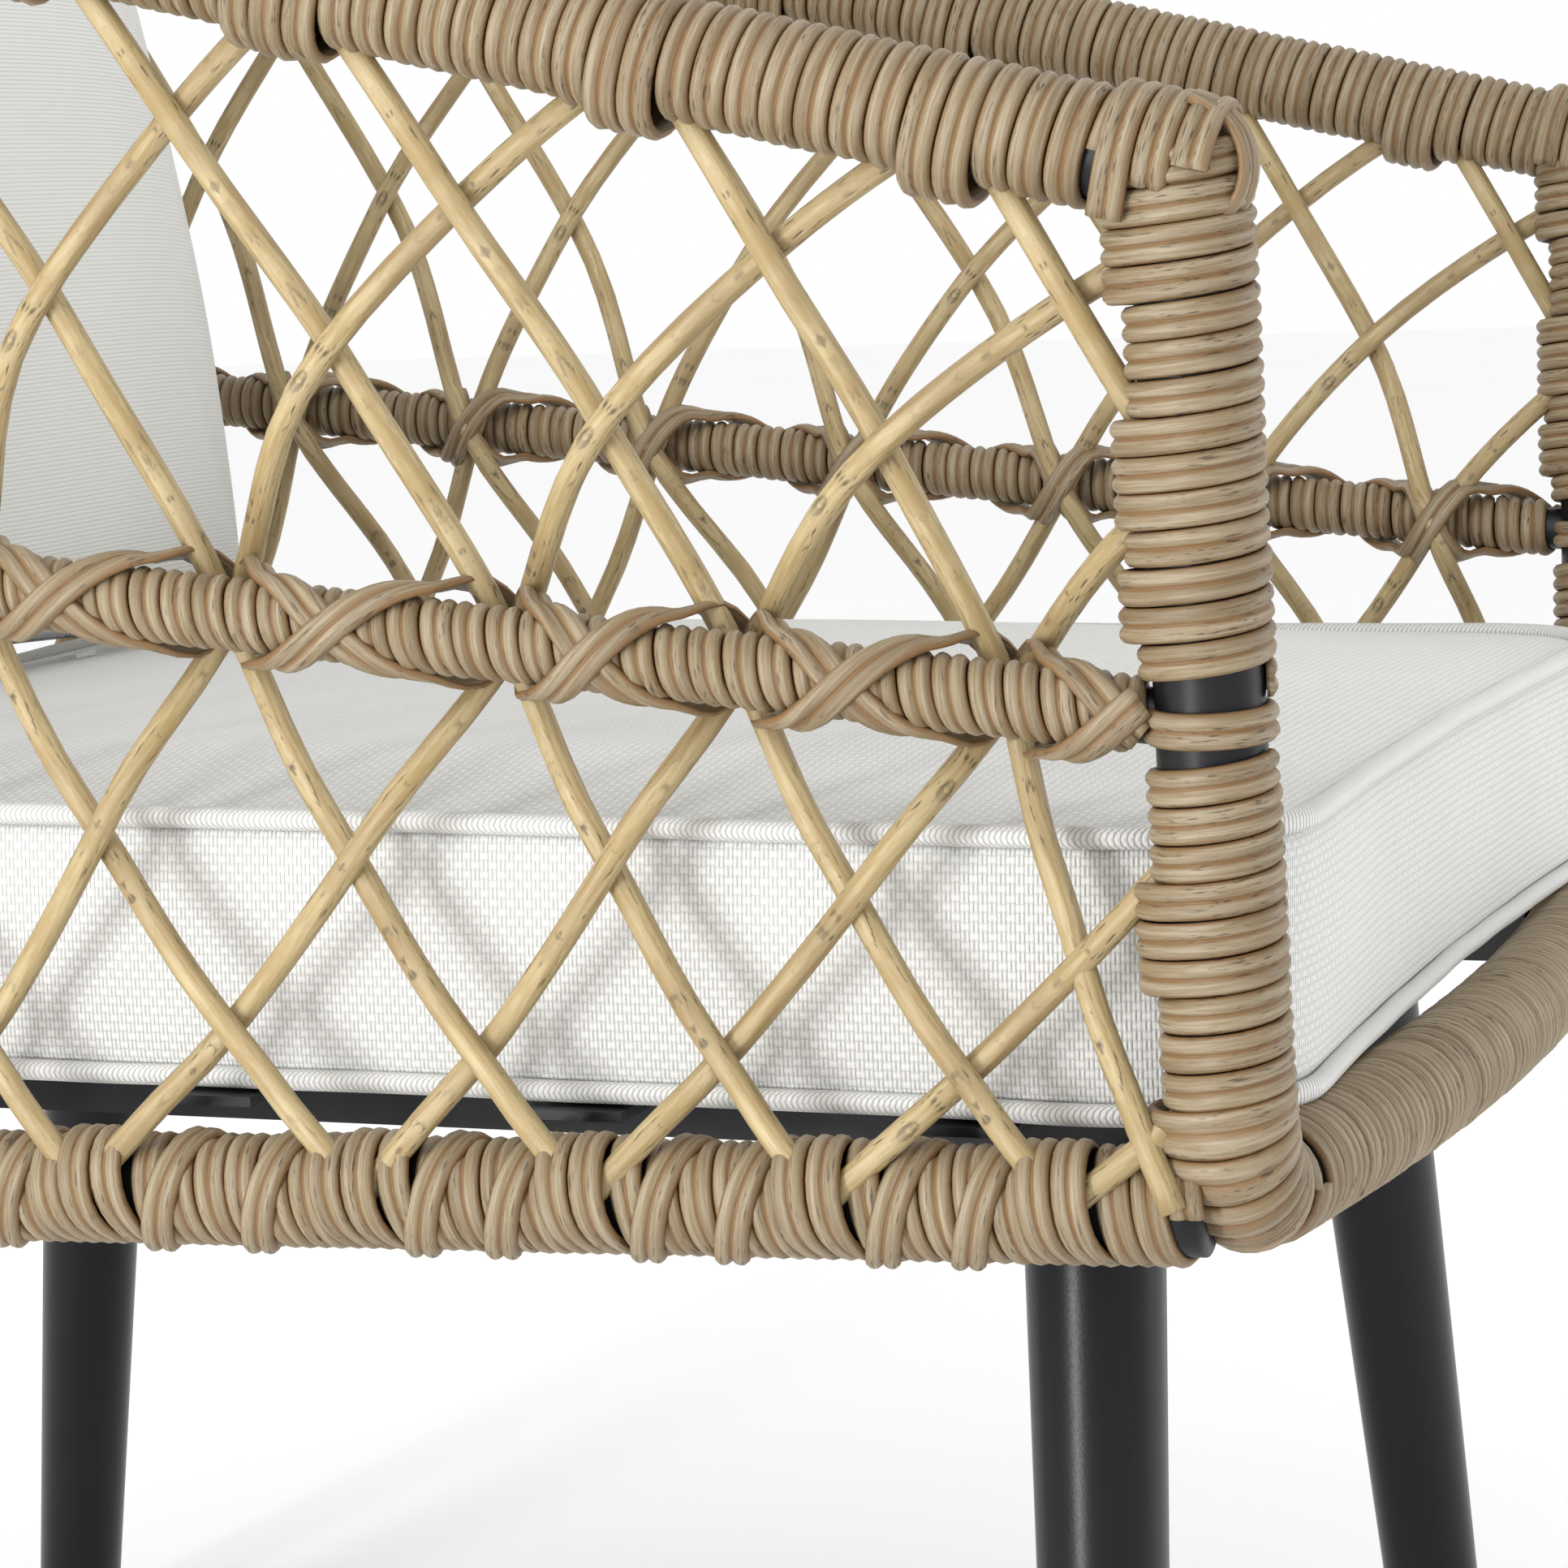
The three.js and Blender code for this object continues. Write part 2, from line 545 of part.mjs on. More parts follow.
// ---- cushions -----------------------------------------------------------------------------
const WELT_LOW = SLAT_TOP + CUSHION_LIFT + WELT;
const WELT_HIGH = WELT_LOW + CUSHION_HEIGHT;
const WELT_REACH = WELT / Math.cos(Math.PI / WELT_SIDES) + GAP;
const WELT_SET = EDGE / 2 - WELT_REACH / Math.SQRT2;     // the welt's centre, in from both faces

/** A rectangle with round corners, centred on the cushion's middle. */
function cushionOutline(inset) {
  const w = CUSHION_WIDTH / 2 - inset;
  const d = CUSHION_DEPTH / 2 - inset;
  const r = CUSHION_CORNER - inset;
  const points = [];
  for (const [sx, sy, turn] of [[1, 1, 0], [-1, 1, 1], [-1, -1, 2], [1, -1, 3]]) {
    for (let i = 0; i <= 3; i += 1) {
      const angle = (turn + i / 3) * (Math.PI / 2);
      points.push(new THREE.Vector2(sx * (w - r) + r * Math.cos(angle), sy * (d - r) + r * Math.sin(angle)));
    }
  }
  return points;
}

const cushionMiddle = vec(0, CUSHION_DEPTH / 2 - CUSHION_FRONT, 0);

/** The cushion's boxed form, with chamfered edges, shrunk by an inset on every side. */
function boxedForm(inset) {
  const bottom = WELT_LOW - WELT_SET + inset;
  const top = WELT_HIGH + WELT_SET - inset;
  const form = new THREE.ExtrudeGeometry(new THREE.Shape(cushionOutline(inset + EDGE)), {
    depth: top - bottom - 2 * EDGE, bevelEnabled: true, bevelSize: EDGE, bevelThickness: EDGE, bevelSegments: 1,
  });
  return solid(form).translate([0, cushionMiddle.y, bottom + EDGE]);
}

/** The welt runs in one loop round the cushion: a half loop and its mirror image. */
function weltLoop(z) {
  const outline = cushionOutline(WELT_SET).map((p) => vec(p.x, p.y + cushionMiddle.y, z));
  const half = outline.filter((p) => p.x > 0);
  const [rear, front] = [half.filter((p) => p.y > cushionMiddle.y), half.filter((p) => p.y < cushionMiddle.y)];
  const run = [...front, ...rear];
  const lap = 0.5;
  const start = vec(-lap, run[0].y, z);
  const end = vec(-lap, run.at(-1).y, z);
  const loop = sweep([start, ...run, end], WELT, WELT_SIDES);
  return loop.add(mirror(loop));
}

function buildSeatCushion() {
  const rear = cushionMiddle.y + CUSHION_DEPTH / 2;
  const middle = (WELT_LOW + WELT_HIGH) / 2;
  const opening = block(ZIP_RUN + ZIP_END, 4 * CLOTH, ZIP, vec(0, rear, middle));
  add('seat_cushion_cover', boxedForm(0).subtract(boxedForm(CLOTH)).subtract(opening), SEAT_CLOTH);
  add('seat_cushion_foam', boxedForm(CLOTH + GAP), FOAM);
  add('seat_welt_bottom', weltLoop(WELT_LOW), SEAT_CLOTH);
  add('seat_welt_top', weltLoop(WELT_HIGH), SEAT_CLOTH);
  const slider = block(9, 3, 12, vec(ZIP_RUN / 2, rear + GAP + 1.5, middle));
  const tab = block(5, 2, 22, vec(ZIP_RUN / 2, rear + GAP + 2.5, middle - 12));
  add('seat_zip_pull', slider.add(tab), ZIP_METAL);
}

/** A pillow with a seam all round it: full in the middle, thin at its squared-off edges. */
function pillowForm(inset) {
  const ball = new THREE.SphereGeometry(1, 16, 10);
  const at = ball.attributes.position;
  const squareness = 4;
  for (let i = 0; i < at.count; i += 1) {
    const p = vec(at.getX(i), at.getY(i), at.getZ(i));
    const round = Math.hypot(p.x, p.z);
    const square = (Math.abs(p.x) ** squareness + Math.abs(p.z) ** squareness) ** (1 / squareness);
    const spread = round > 1e-6 ? round / square : 0;
    at.setXYZ(i, p.x * spread * (PILLOW_WIDTH / 2 - inset), p.y * (PILLOW_THICKNESS / 2 - inset),
      p.z * spread * (PILLOW_HEIGHT / 2 - inset));
  }
  return solid(ball);
}

/** Leans a pillow piece back and sets it on the seat cushion, against the lattice. */
function leanPillow(body) {
  const z = WELT_HIGH + WELT + PILLOW_GAP + (PILLOW_HEIGHT / 2) * Math.cos(radians(PILLOW_LEAN));
  const inside = MID_WRAP + 2 * STRAND + 2 * GAP + 2 * CROSSING + PILLOW_GAP;
  const panel = midRail.back - inside + (z - midRail.levelAt(midRail.back)) * slope(RECLINE);
  const y = panel - PILLOW_THICKNESS / 2 / Math.cos(radians(PILLOW_LEAN));
  return body.rotate([-PILLOW_LEAN, 0, 0]).translate([0, y, z]);
}

function buildPillow() {
  const low = -PILLOW_HEIGHT / 2;
  const opening = block(PILLOW_ZIP_RUN + ZIP_END, ZIP, 30, vec(0, 0, low));
  add('pillow_cover', leanPillow(pillowForm(0).subtract(pillowForm(CLOTH)).subtract(opening)), PILLOW_CLOTH);
  add('pillow_filling', leanPillow(pillowForm(CLOTH + GAP)), FOAM);
  const pull = block(16, 7, 2, vec(PILLOW_ZIP_RUN / 2, 0, low - GAP - 1));
  add('pillow_zip_pull', leanPillow(pull), ZIP_METAL);
}

buildTubes();
buildDeck();
buildLeg('front', FRONT_LEG_INSET, -FRONT_LEG_RAKE);
buildLeg('rear', seatRail.back - REAR_LEG_INSET, REAR_LEG_RAKE);
buildPostWraps();
const posts = sweep(frontFrame, POST_WRAP + GAP);
const ahead = block(REGION, REGION, REGION, vec(0, POST_WRAP + GAP - REGION / 2, 0));
buildRailWraps('seat', seatRail, RAIL_TUBE, posts.add(ahead));
buildRailWraps('middle', midRail, MID_TUBE, posts);
buildRailWraps('top', topRail, RAIL_TUBE, cornerBlock(GAP));
buildUprightWraps();
buildCorners();
buildLattice();
buildSeatCushion();
buildPillow();

// The origin is on the floor, under the middle of the whole chair.
const middle = new THREE.Box3().setFromObject(chair).getCenter(vec(0, 0, 0));
chair.position.set(-middle.x, -middle.y, 0);

export default chair;
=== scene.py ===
"""Patio armchair: the visual model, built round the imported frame.

The steel tubes, the wicker wound round them, the open lattice, the splayed legs and the two loose cushions
are each a class that holds its sizes, builds its meshes and dresses them. Lengths are metres, +Z is up and
the chair faces -Y.
"""
from __future__ import annotations

import json
import logging
import math
from dataclasses import dataclass, field
from enum import Enum
from typing import Callable, Iterable, Sequence

import bmesh
import bpy
from mathutils import Matrix, Vector, noise
from mathutils.bvhtree import BVHTree

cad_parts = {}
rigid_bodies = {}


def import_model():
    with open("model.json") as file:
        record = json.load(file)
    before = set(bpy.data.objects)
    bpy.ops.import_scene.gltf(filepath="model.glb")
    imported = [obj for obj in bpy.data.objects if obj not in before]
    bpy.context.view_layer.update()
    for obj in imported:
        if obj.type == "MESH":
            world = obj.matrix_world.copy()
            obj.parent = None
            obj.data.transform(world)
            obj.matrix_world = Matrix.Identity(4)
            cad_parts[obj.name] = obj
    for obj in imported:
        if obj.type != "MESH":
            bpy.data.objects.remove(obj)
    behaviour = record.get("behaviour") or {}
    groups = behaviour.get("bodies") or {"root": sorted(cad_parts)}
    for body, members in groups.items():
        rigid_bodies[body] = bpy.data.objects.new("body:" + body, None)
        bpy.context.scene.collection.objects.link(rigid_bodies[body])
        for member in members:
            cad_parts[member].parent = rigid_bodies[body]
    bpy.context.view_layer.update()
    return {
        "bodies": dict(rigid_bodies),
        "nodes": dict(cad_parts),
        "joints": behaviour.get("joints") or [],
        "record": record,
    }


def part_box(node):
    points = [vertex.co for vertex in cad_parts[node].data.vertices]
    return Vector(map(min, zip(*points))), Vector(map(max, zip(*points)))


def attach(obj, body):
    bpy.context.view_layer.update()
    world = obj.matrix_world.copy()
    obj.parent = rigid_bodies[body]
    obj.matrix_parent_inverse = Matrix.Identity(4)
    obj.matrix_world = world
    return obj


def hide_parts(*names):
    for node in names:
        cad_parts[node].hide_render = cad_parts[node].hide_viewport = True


log = logging.getLogger("patio_armchair")

TAU = 2 * math.pi
UP = Vector((0, 0, 1))
FORWARD = Vector((0, -1, 0))


# ---- small helpers ------------------------------------------------------------------------
def slope(degrees: float) -> float:
    """The rise per unit of run at an angle."""
    return math.tan(math.radians(degrees))


def smooth(t: float) -> float:
    """A step from 0 to 1 with soft ends."""
    t = min(max(t, 0.0), 1.0)
    return t * t * (3 - 2 * t)


def eased(knots: Sequence[tuple[float, float]], x: float) -> float:
    """A soft curve through knots.

    Args:
        knots: Pairs of place and value, in order of place.
        x: The place asked for.

    Returns:
        The value there, level before the first knot and after the last.
    """
    for (x0, y0), (x1, y1) in zip(knots, knots[1:]):
        if x <= x1:
            return y0 + (y1 - y0) * smooth((x - x0) / (x1 - x0))
    return knots[-1][1]


def wobble(x: float, seed: float) -> float:
    """Slow, repeatable noise from about -1 to 1."""
    return noise.noise(Vector((x, seed * 7.31, seed * 1.77)))


class Side(Enum):
    """The two sides of the chair, with the sign of their x."""

    LEFT = -1
    RIGHT = 1

    @property
    def label(self) -> str:
        """The word used in names."""
        return self.name.lower()


# ---- lines that things are bent along -----------------------------------------------------
class Line:
    """A smooth line in space with a direction and an outward side at every point."""

    def __init__(self, points: Sequence[Vector], out: Callable[[Vector, Vector], Vector]) -> None:
        """Measures the line.

        Args:
            points: Its points, close together.
            out: Gives the outward side from a point and the direction there.
        """
        self.points = list(points)
        self.reach = [0.0]
        for a, b in zip(self.points, self.points[1:]):
            self.reach.append(self.reach[-1] + (b - a).length)
        self.length = self.reach[-1]
        last = len(self.points) - 1
        self.ways = []
        self.outs = []
        for i, point in enumerate(self.points):
            way = (self.points[min(i + 1, last)] - self.points[max(i - 1, 0)]).normalized()
            side = out(point, way)
            self.ways.append(way)
            self.outs.append((side - way * side.dot(way)).normalized())
        self.hint = 0

    def _find(self, s: float) -> tuple[int, float]:
        """The stretch that holds a distance, and the share of it."""
        i = self.hint
        last = len(self.reach) - 2
        while i < last and self.reach[i + 1] < s:
            i += 1
        while i > 0 and self.reach[i] > s:
            i -= 1
        self.hint = i
        return i, (s - self.reach[i]) / (self.reach[i + 1] - self.reach[i])

    def at(self, s: float) -> Vector:
        """The point at a distance along the line; it runs on straight past its ends."""
        i, share = self._find(s)
        return self.points[i].lerp(self.points[i + 1], share)

    def frame(self, s: float) -> tuple[Vector, Vector, Vector, Vector]:
        """The point, the direction, the outward side and the third side at a distance."""
        i, share = self._find(s)
        held = min(max(share, 0.0), 1.0)
        way = self.ways[i].lerp(self.ways[i + 1], held).normalized()
        out = self.outs[i].lerp(self.outs[i + 1], held).normalized()
        return self.points[i].lerp(self.points[i + 1], share), way, out, way.cross(out)

    def round(self, s: float, angle: float, radius: float) -> Vector:
        """A point at an angle and a radius round the line; angle 0 is outwards."""
        point, _, out, third = self.frame(s)
        return point + out * (radius * math.cos(angle)) + third * (radius * math.sin(angle))


# ---- straight stock that is bent into place -----------------------------------------------
Place = Callable[[float, float, float], Vector]


@dataclass(frozen=True)
class Section:
    """A closed section: pairs of distance across and height, anticlockwise seen along the stock."""

    points: tuple[tuple[float, float], ...]

    @staticmethod
    def ring(radius: float, sides: int) -> "Section":
        """A round section."""
        turns = (TAU * i / sides for i in range(sides))
        return Section(tuple((radius * math.cos(a), radius * math.sin(a)) for a in turns))

    @staticmethod
    def strip(width: float, height: float) -> "Section":
        """The wicker strip: two half-round ridges with a shallow valley between them.

        Args:
            width: Across both ridges.
            height: From the underside to the top of a ridge.
        """
        half = width / 2
        shape = ((0.0, 0.06), (0.05, 0.55), (0.30, 0.92), (0.52, 1.0), (0.74, 0.90), (0.95, 0.62))
        rising = [(-half + half * across, height * up) for across, up in shape]
        falling = [(-across, up) for across, up in reversed(rising)]
        return Section((*rising, (0.0, height * 0.52), *falling))


def make_piece(name: str, body: str, bm: bmesh.types.BMesh, material: bpy.types.Material, slot: str,
               smooth_faces: bool = True) -> bpy.types.Object:
    """Turns a bmesh into a piece that rides on a body.

    Args:
        name: The piece's name.
        body: The body that it rides on.
        bm: Its mesh, which is freed.
        material: Its finish.
        slot: The record's material slot; not used.
        smooth_faces: Whether its faces are shaded smooth.

    Returns:
        The new object.
    """
    mesh = bpy.data.meshes.new(name)
    for face in bm.faces:
        face.smooth = smooth_faces
    bm.to_mesh(mesh)
    bm.free()
    piece = bpy.data.objects.new(name, mesh)
    bpy.context.scene.collection.objects.link(piece)
    piece.data.materials.append(material)
    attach(piece, body)
    log.info("%s: %d faces", name, len(mesh.polygons))
    return piece


LINK_STEPS = 40


def straight_bar(section: Section, length: float, steps: int) -> bpy.types.Mesh:
    """Spins a short straight bar of one section along x, open at both ends.

    Args:
        section: Its section.
        length: Its length.
        steps: How many rings of faces it has.

    Returns:
        Its mesh.
    """
    bm = bmesh.new()
    ring = [bm.verts.new((0, across, up)) for across, up in section.points]
    edges = [bm.edges.new((a, b)) for a, b in zip(ring, ring[1:] + ring[:1])]
    step = (length / steps, 0, 0)
    bmesh.ops.spin(bm, geom=ring + edges, cent=(0, 0, 0), axis=(1, 0, 0), dvec=step, angle=0, steps=steps,
                   use_duplicate=False)
    mesh = bpy.data.meshes.new("bar")
    bm.to_mesh(mesh)
    bm.free()
    return mesh


def add_stock(bm: bmesh.types.BMesh, section: Section, length: float, steps: int, place: Place,
              closed: bool = False) -> None:
    """Lays a long straight bar of one section along x, maps it and bends it into place.

    Args:
        bm: The mesh that it is added to.
        section: Its section.
        length: Its length.
        steps: How many rings of faces it has.
        place: Maps distance along, distance across and height to a point in space.
        closed: Whether its two ends meet.
    """
    part = bmesh.new()
    links = math.ceil(steps / LINK_STEPS)
    link_steps = math.ceil(steps / links)
    carrier = straight_bar(section, length / links, link_steps)
    for i in range(links):
        part.from_mesh(carrier)
        part.verts.ensure_lookup_table()
        added = part.verts[i * len(carrier.vertices):]
        bmesh.ops.translate(part, verts=added, vec=(i * length / links, 0, 0))
    bpy.data.meshes.remove(carrier)
    bmesh.ops.remove_doubles(part, verts=part.verts, dist=1e-6)
    if not closed:
        bmesh.ops.holes_fill(part, edges=[edge for edge in part.edges if edge.is_boundary])
    bmesh.ops.recalc_face_normals(part, faces=part.faces)
    uv = part.loops.layers.uv.verify()
    for face in part.faces:
        for loop in face.loops:
            loop[uv].uv = (loop.vert.co.x, loop.vert.co.y)
    for vert in sorted(part.verts, key=lambda v: v.co.x):
        vert.co = place(*vert.co)
    if closed:
        bmesh.ops.remove_doubles(part, verts=part.verts, dist=1e-5)
        bmesh.ops.recalc_face_normals(part, faces=part.faces)
    carrier = bpy.data.meshes.new("stock")
    part.to_mesh(carrier)
    part.free()
    bm.from_mesh(carrier)
    bpy.data.meshes.remove(carrier)


# ---- the frame's lines --------------------------------------------------------------------
@dataclass(frozen=True)
class Pattern:
    """The chair's driving sizes, in the frame's own metres; y is counted from the front posts."""

    rail_height: float = 0.344
    mid_height: float = 0.482
    arm_height: float = 0.634
    arm_span: float = 0.595
    seat_depth: float = 0.655
    flare: float = 3.1
    rake: float = 0.9
    recline: float = 10.0
    post_bend: float = 0.032
    front_bow: float = 0.018
    rear_radius: float = 0.060
    front_leg_inset: float = 0.075

    def arm_x(self, z: float) -> float:
        """Half the distance between the arm planes at a height."""
        return self.arm_span / 2 + (z - self.rail_height) * slope(self.flare)

    def post_y(self, z: float) -> float:
        """How far back a front post stands at a height."""
        return (z - self.rail_height) * slope(self.rake)


PATTERN = Pattern()


class Rail:
    """One rail from the left post back, round the rear corners and forward to the right post."""

    SIDE_STEPS = 40
    CORNER_STEPS = 16

    def __init__(self, height: float, climb: float, ties: int, margin: float, stray: Sequence[float],
                 shift: float) -> None:
        """Works out the rail's line.

        Args:
            height: Of its centre at the front posts.
            climb: Degrees that it climbs towards the back.
            ties: How many lattice ties it carries.
            margin: From the front post to the first tie.
            stray: How far each hand-made tie strays, from the front back.
            shift: From the front posts to the frame's own y.
        """
        self.height, self.climb = height, slope(climb)
        self.ties, self.margin, self.stray = ties, margin, stray
        self.front = PATTERN.post_y(height)
        lean = slope(PATTERN.recline)
        level = self.level_at(0) - PATTERN.rail_height
        self.back = (PATTERN.seat_depth + level * lean) / (1 - self.climb * lean)
        self.line = Line(self._outline(shift), self._outwards)
        self.length = self.line.length
        straight = math.dist(self._side_point(self.front), self._side_point(self.back - PATTERN.rear_radius))
        self.corner = straight + PATTERN.rear_radius * math.pi / 4

    @staticmethod
    def _outwards(_point: Vector, way: Vector) -> Vector:
        """Level and away from the sitter."""
        return UP.cross(way)

    def level_at(self, y: float) -> float:
        """The height of its centre at a distance back."""
        return self.height + (y - self.front) * self.climb

    def _side_point(self, y: float) -> tuple[float, float, float]:
        """The centre of its left stretch."""
        z = self.level_at(y)
        return -PATTERN.arm_x(z), y, z

    def _outline(self, shift: float) -> list[Vector]:
        """Its left half, mirrored onto the right."""
        radius = PATTERN.rear_radius
        end = self.back - radius
        half_back = PATTERN.arm_x(self.level_at(self.back))
        left = []
        for i in range(self.SIDE_STEPS):
            left.append(Vector(self._side_point(self.front + (end - self.front) * i / self.SIDE_STEPS)))
        for i in range(self.CORNER_STEPS + 1):
            angle = math.pi / 2 * i / self.CORNER_STEPS
            y = end + radius * math.sin(angle)
            left.append(Vector((-half_back + radius * (1 - math.cos(angle)), y, self.level_at(y))))
        for i in range(1, self.SIDE_STEPS // 2):
            x = (-half_back + radius) * (1 - 2 * i / self.SIDE_STEPS)
            left.append(Vector((x, self.back, self.level_at(self.back))))
        middle = Vector((0, self.back, self.level_at(self.back)))
        right = [Vector((-p.x, p.y, p.z)) for p in reversed(left)]
        return [p + Vector((0, shift, 0)) for p in [*left, middle, *right]]

    def tie(self, k: int, tuck: float | None = None) -> float:
        """Where a tie is.

        Args:
            k: Its number from the left front post; past the ends it goes on beyond the posts.
            tuck: Where the strand just in front of the first tie is tucked in, if it is.

        Returns:
            Its place as a share of the rail's length.
        """
        last = self.ties - 1
        pitch = (self.length - 2 * self.margin) / last
        from_front = min(k, last - k)
        stray = self.stray[from_front] if 0 <= from_front < len(self.stray) else 0.0
        distance = self.margin + pitch * from_front + stray
        if tuck is not None and from_front == -1:
            distance = tuck
        return (distance if k <= last - k else self.length - distance) / self.length


class Skeleton:
    """Every line of the frame: three rails, two posts with the front rail, and the rear uprights."""

    def __init__(self) -> None:
        """Takes the frame's place from its front leg plate and draws the lines."""
        low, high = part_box("front_leg_plate_left")
        self.shift = (low[1] + high[1]) / 2 - PATTERN.front_leg_inset
        stray = (0.003, -0.002, -0.006, -0.011, 0.005, 0.002)
        self.seat = Rail(PATTERN.rail_height, -1.6, 24, 0.042, stray, self.shift)
        self.middle = Rail(PATTERN.mid_height, 5.6, 23, 0.063, (0, -0.002, -0.013, -0.005), self.shift)
        self.top = Rail(PATTERN.arm_height, 13.1, 22, 0.065, (0, 0, 0.012, 0.005), self.shift)
        self.front = Line(self._front_points(), self._front_out)
        self.post_length = (Vector(self._post_point(PATTERN.arm_height))
                            - Vector(self._post_point(PATTERN.rail_height + PATTERN.post_bend))).length
        self.bend_end = self.post_length + PATTERN.post_bend * math.pi / 2

    def _post_point(self, z: float) -> tuple[float, float, float]:
        """The centre of the left front post at a height."""
        return -PATTERN.arm_x(z), PATTERN.post_y(z) + self.shift, z

    def _front_points(self) -> list[Vector]:
        """The left post down, its bend, the bowed front rail and the right post up."""
        bend_top = PATTERN.rail_height + PATTERN.post_bend
        drop = PATTERN.arm_height - bend_top
        steps = 24
        points = [Vector(self._post_point(PATTERN.arm_height - drop * i / steps)) for i in range(steps)]
        centre_x = -PATTERN.arm_x(bend_top) + PATTERN.post_bend
        turns = 14
        for i in range(turns + 1):
            angle = math.pi / 2 * i / turns
            points.append(Vector((centre_x - PATTERN.post_bend * math.cos(angle), self.shift,
                                  bend_top - PATTERN.post_bend * math.sin(angle))))
        for i in range(1, steps + 1):
            x = centre_x * (1 - i / steps)
            bow = PATTERN.front_bow * (1 - (x / centre_x) ** 2)
            points.append(Vector((x, self.shift - bow, PATTERN.rail_height)))
        return points + [Vector((-p.x, p.y, p.z)) for p in reversed(points[:-1])]

    @staticmethod
    def _front_out(_point: Vector, _way: Vector) -> Vector:
        """The front frame's reference side is the front."""
        return FORWARD

    def upright(self, side: Side, low: Rail, high: Rail) -> Line:
        """The line of a rear upright between two rails."""
        ends = [rail.line.at(rail.corner) for rail in (low, high)]
        if side is Side.RIGHT:
            ends = [Vector((-p.x, p.y, p.z)) for p in ends]
        steps = 8
        points = [ends[0].lerp(ends[1], i / steps) for i in range(steps + 1)]
        return Line(points, lambda _p, _w: Vector((side.value, 1, 0)).normalized())


# ---- shader writing -----------------------------------------------------------------------
class Wire:
    """A socket that a shader is written with: its operators add Math nodes."""

    def __init__(self, tree: "Recipe", socket: bpy.types.NodeSocket) -> None:
        """Wraps a socket of a tree."""
        self.tree, self.socket = tree, socket

    def _math(self, operation: str, *values: "Wire | float") -> "Wire":
        """Adds one Math node."""
        sockets = dict(enumerate(values))
        return self.tree.node("ShaderNodeMath", {"operation": operation}, sockets)

    def __add__(self, other: "Wire | float") -> "Wire":
        """Sum."""
        return self._math("ADD", self, other)

    __radd__ = __add__

    def __sub__(self, other: "Wire | float") -> "Wire":
        """Difference."""
        return self._math("SUBTRACT", self, other)

    def __rsub__(self, other: float) -> "Wire":
        """Difference from a number."""
        return self._math("SUBTRACT", other, self)

    def __mul__(self, other: "Wire | float") -> "Wire":
        """Product."""
        return self._math("MULTIPLY", self, other)

    __rmul__ = __mul__

    def __truediv__(self, other: "Wire | float") -> "Wire":
        """Quotient."""
        return self._math("DIVIDE", self, other)

    def __gt__(self, other: "Wire | float") -> "Wire":
        """1 where it is greater."""
        return self._math("GREATER_THAN", self, other)

    def sin(self) -> "Wire":
        """Sine."""
        return self._math("SINE", self)

    def abs(self) -> "Wire":
        """Size without sign."""
        return self._math("ABSOLUTE", self)

    def fract(self) -> "Wire":
        """What is left above the whole number."""
        return self._math("FRACT", self)

    def floor(self) -> "Wire":
        """The whole number below."""
        return self._math("FLOOR", self)

    def ramp(self, low: float, high: float) -> "Wire":
        """0 up to low, 1 from high, soft between."""
        settings = {"interpolation_type": "SMOOTHSTEP"}
        sockets = {"Value": self, "From Min": low, "From Max": high}
        return self.tree.node("ShaderNodeMapRange", settings, sockets)


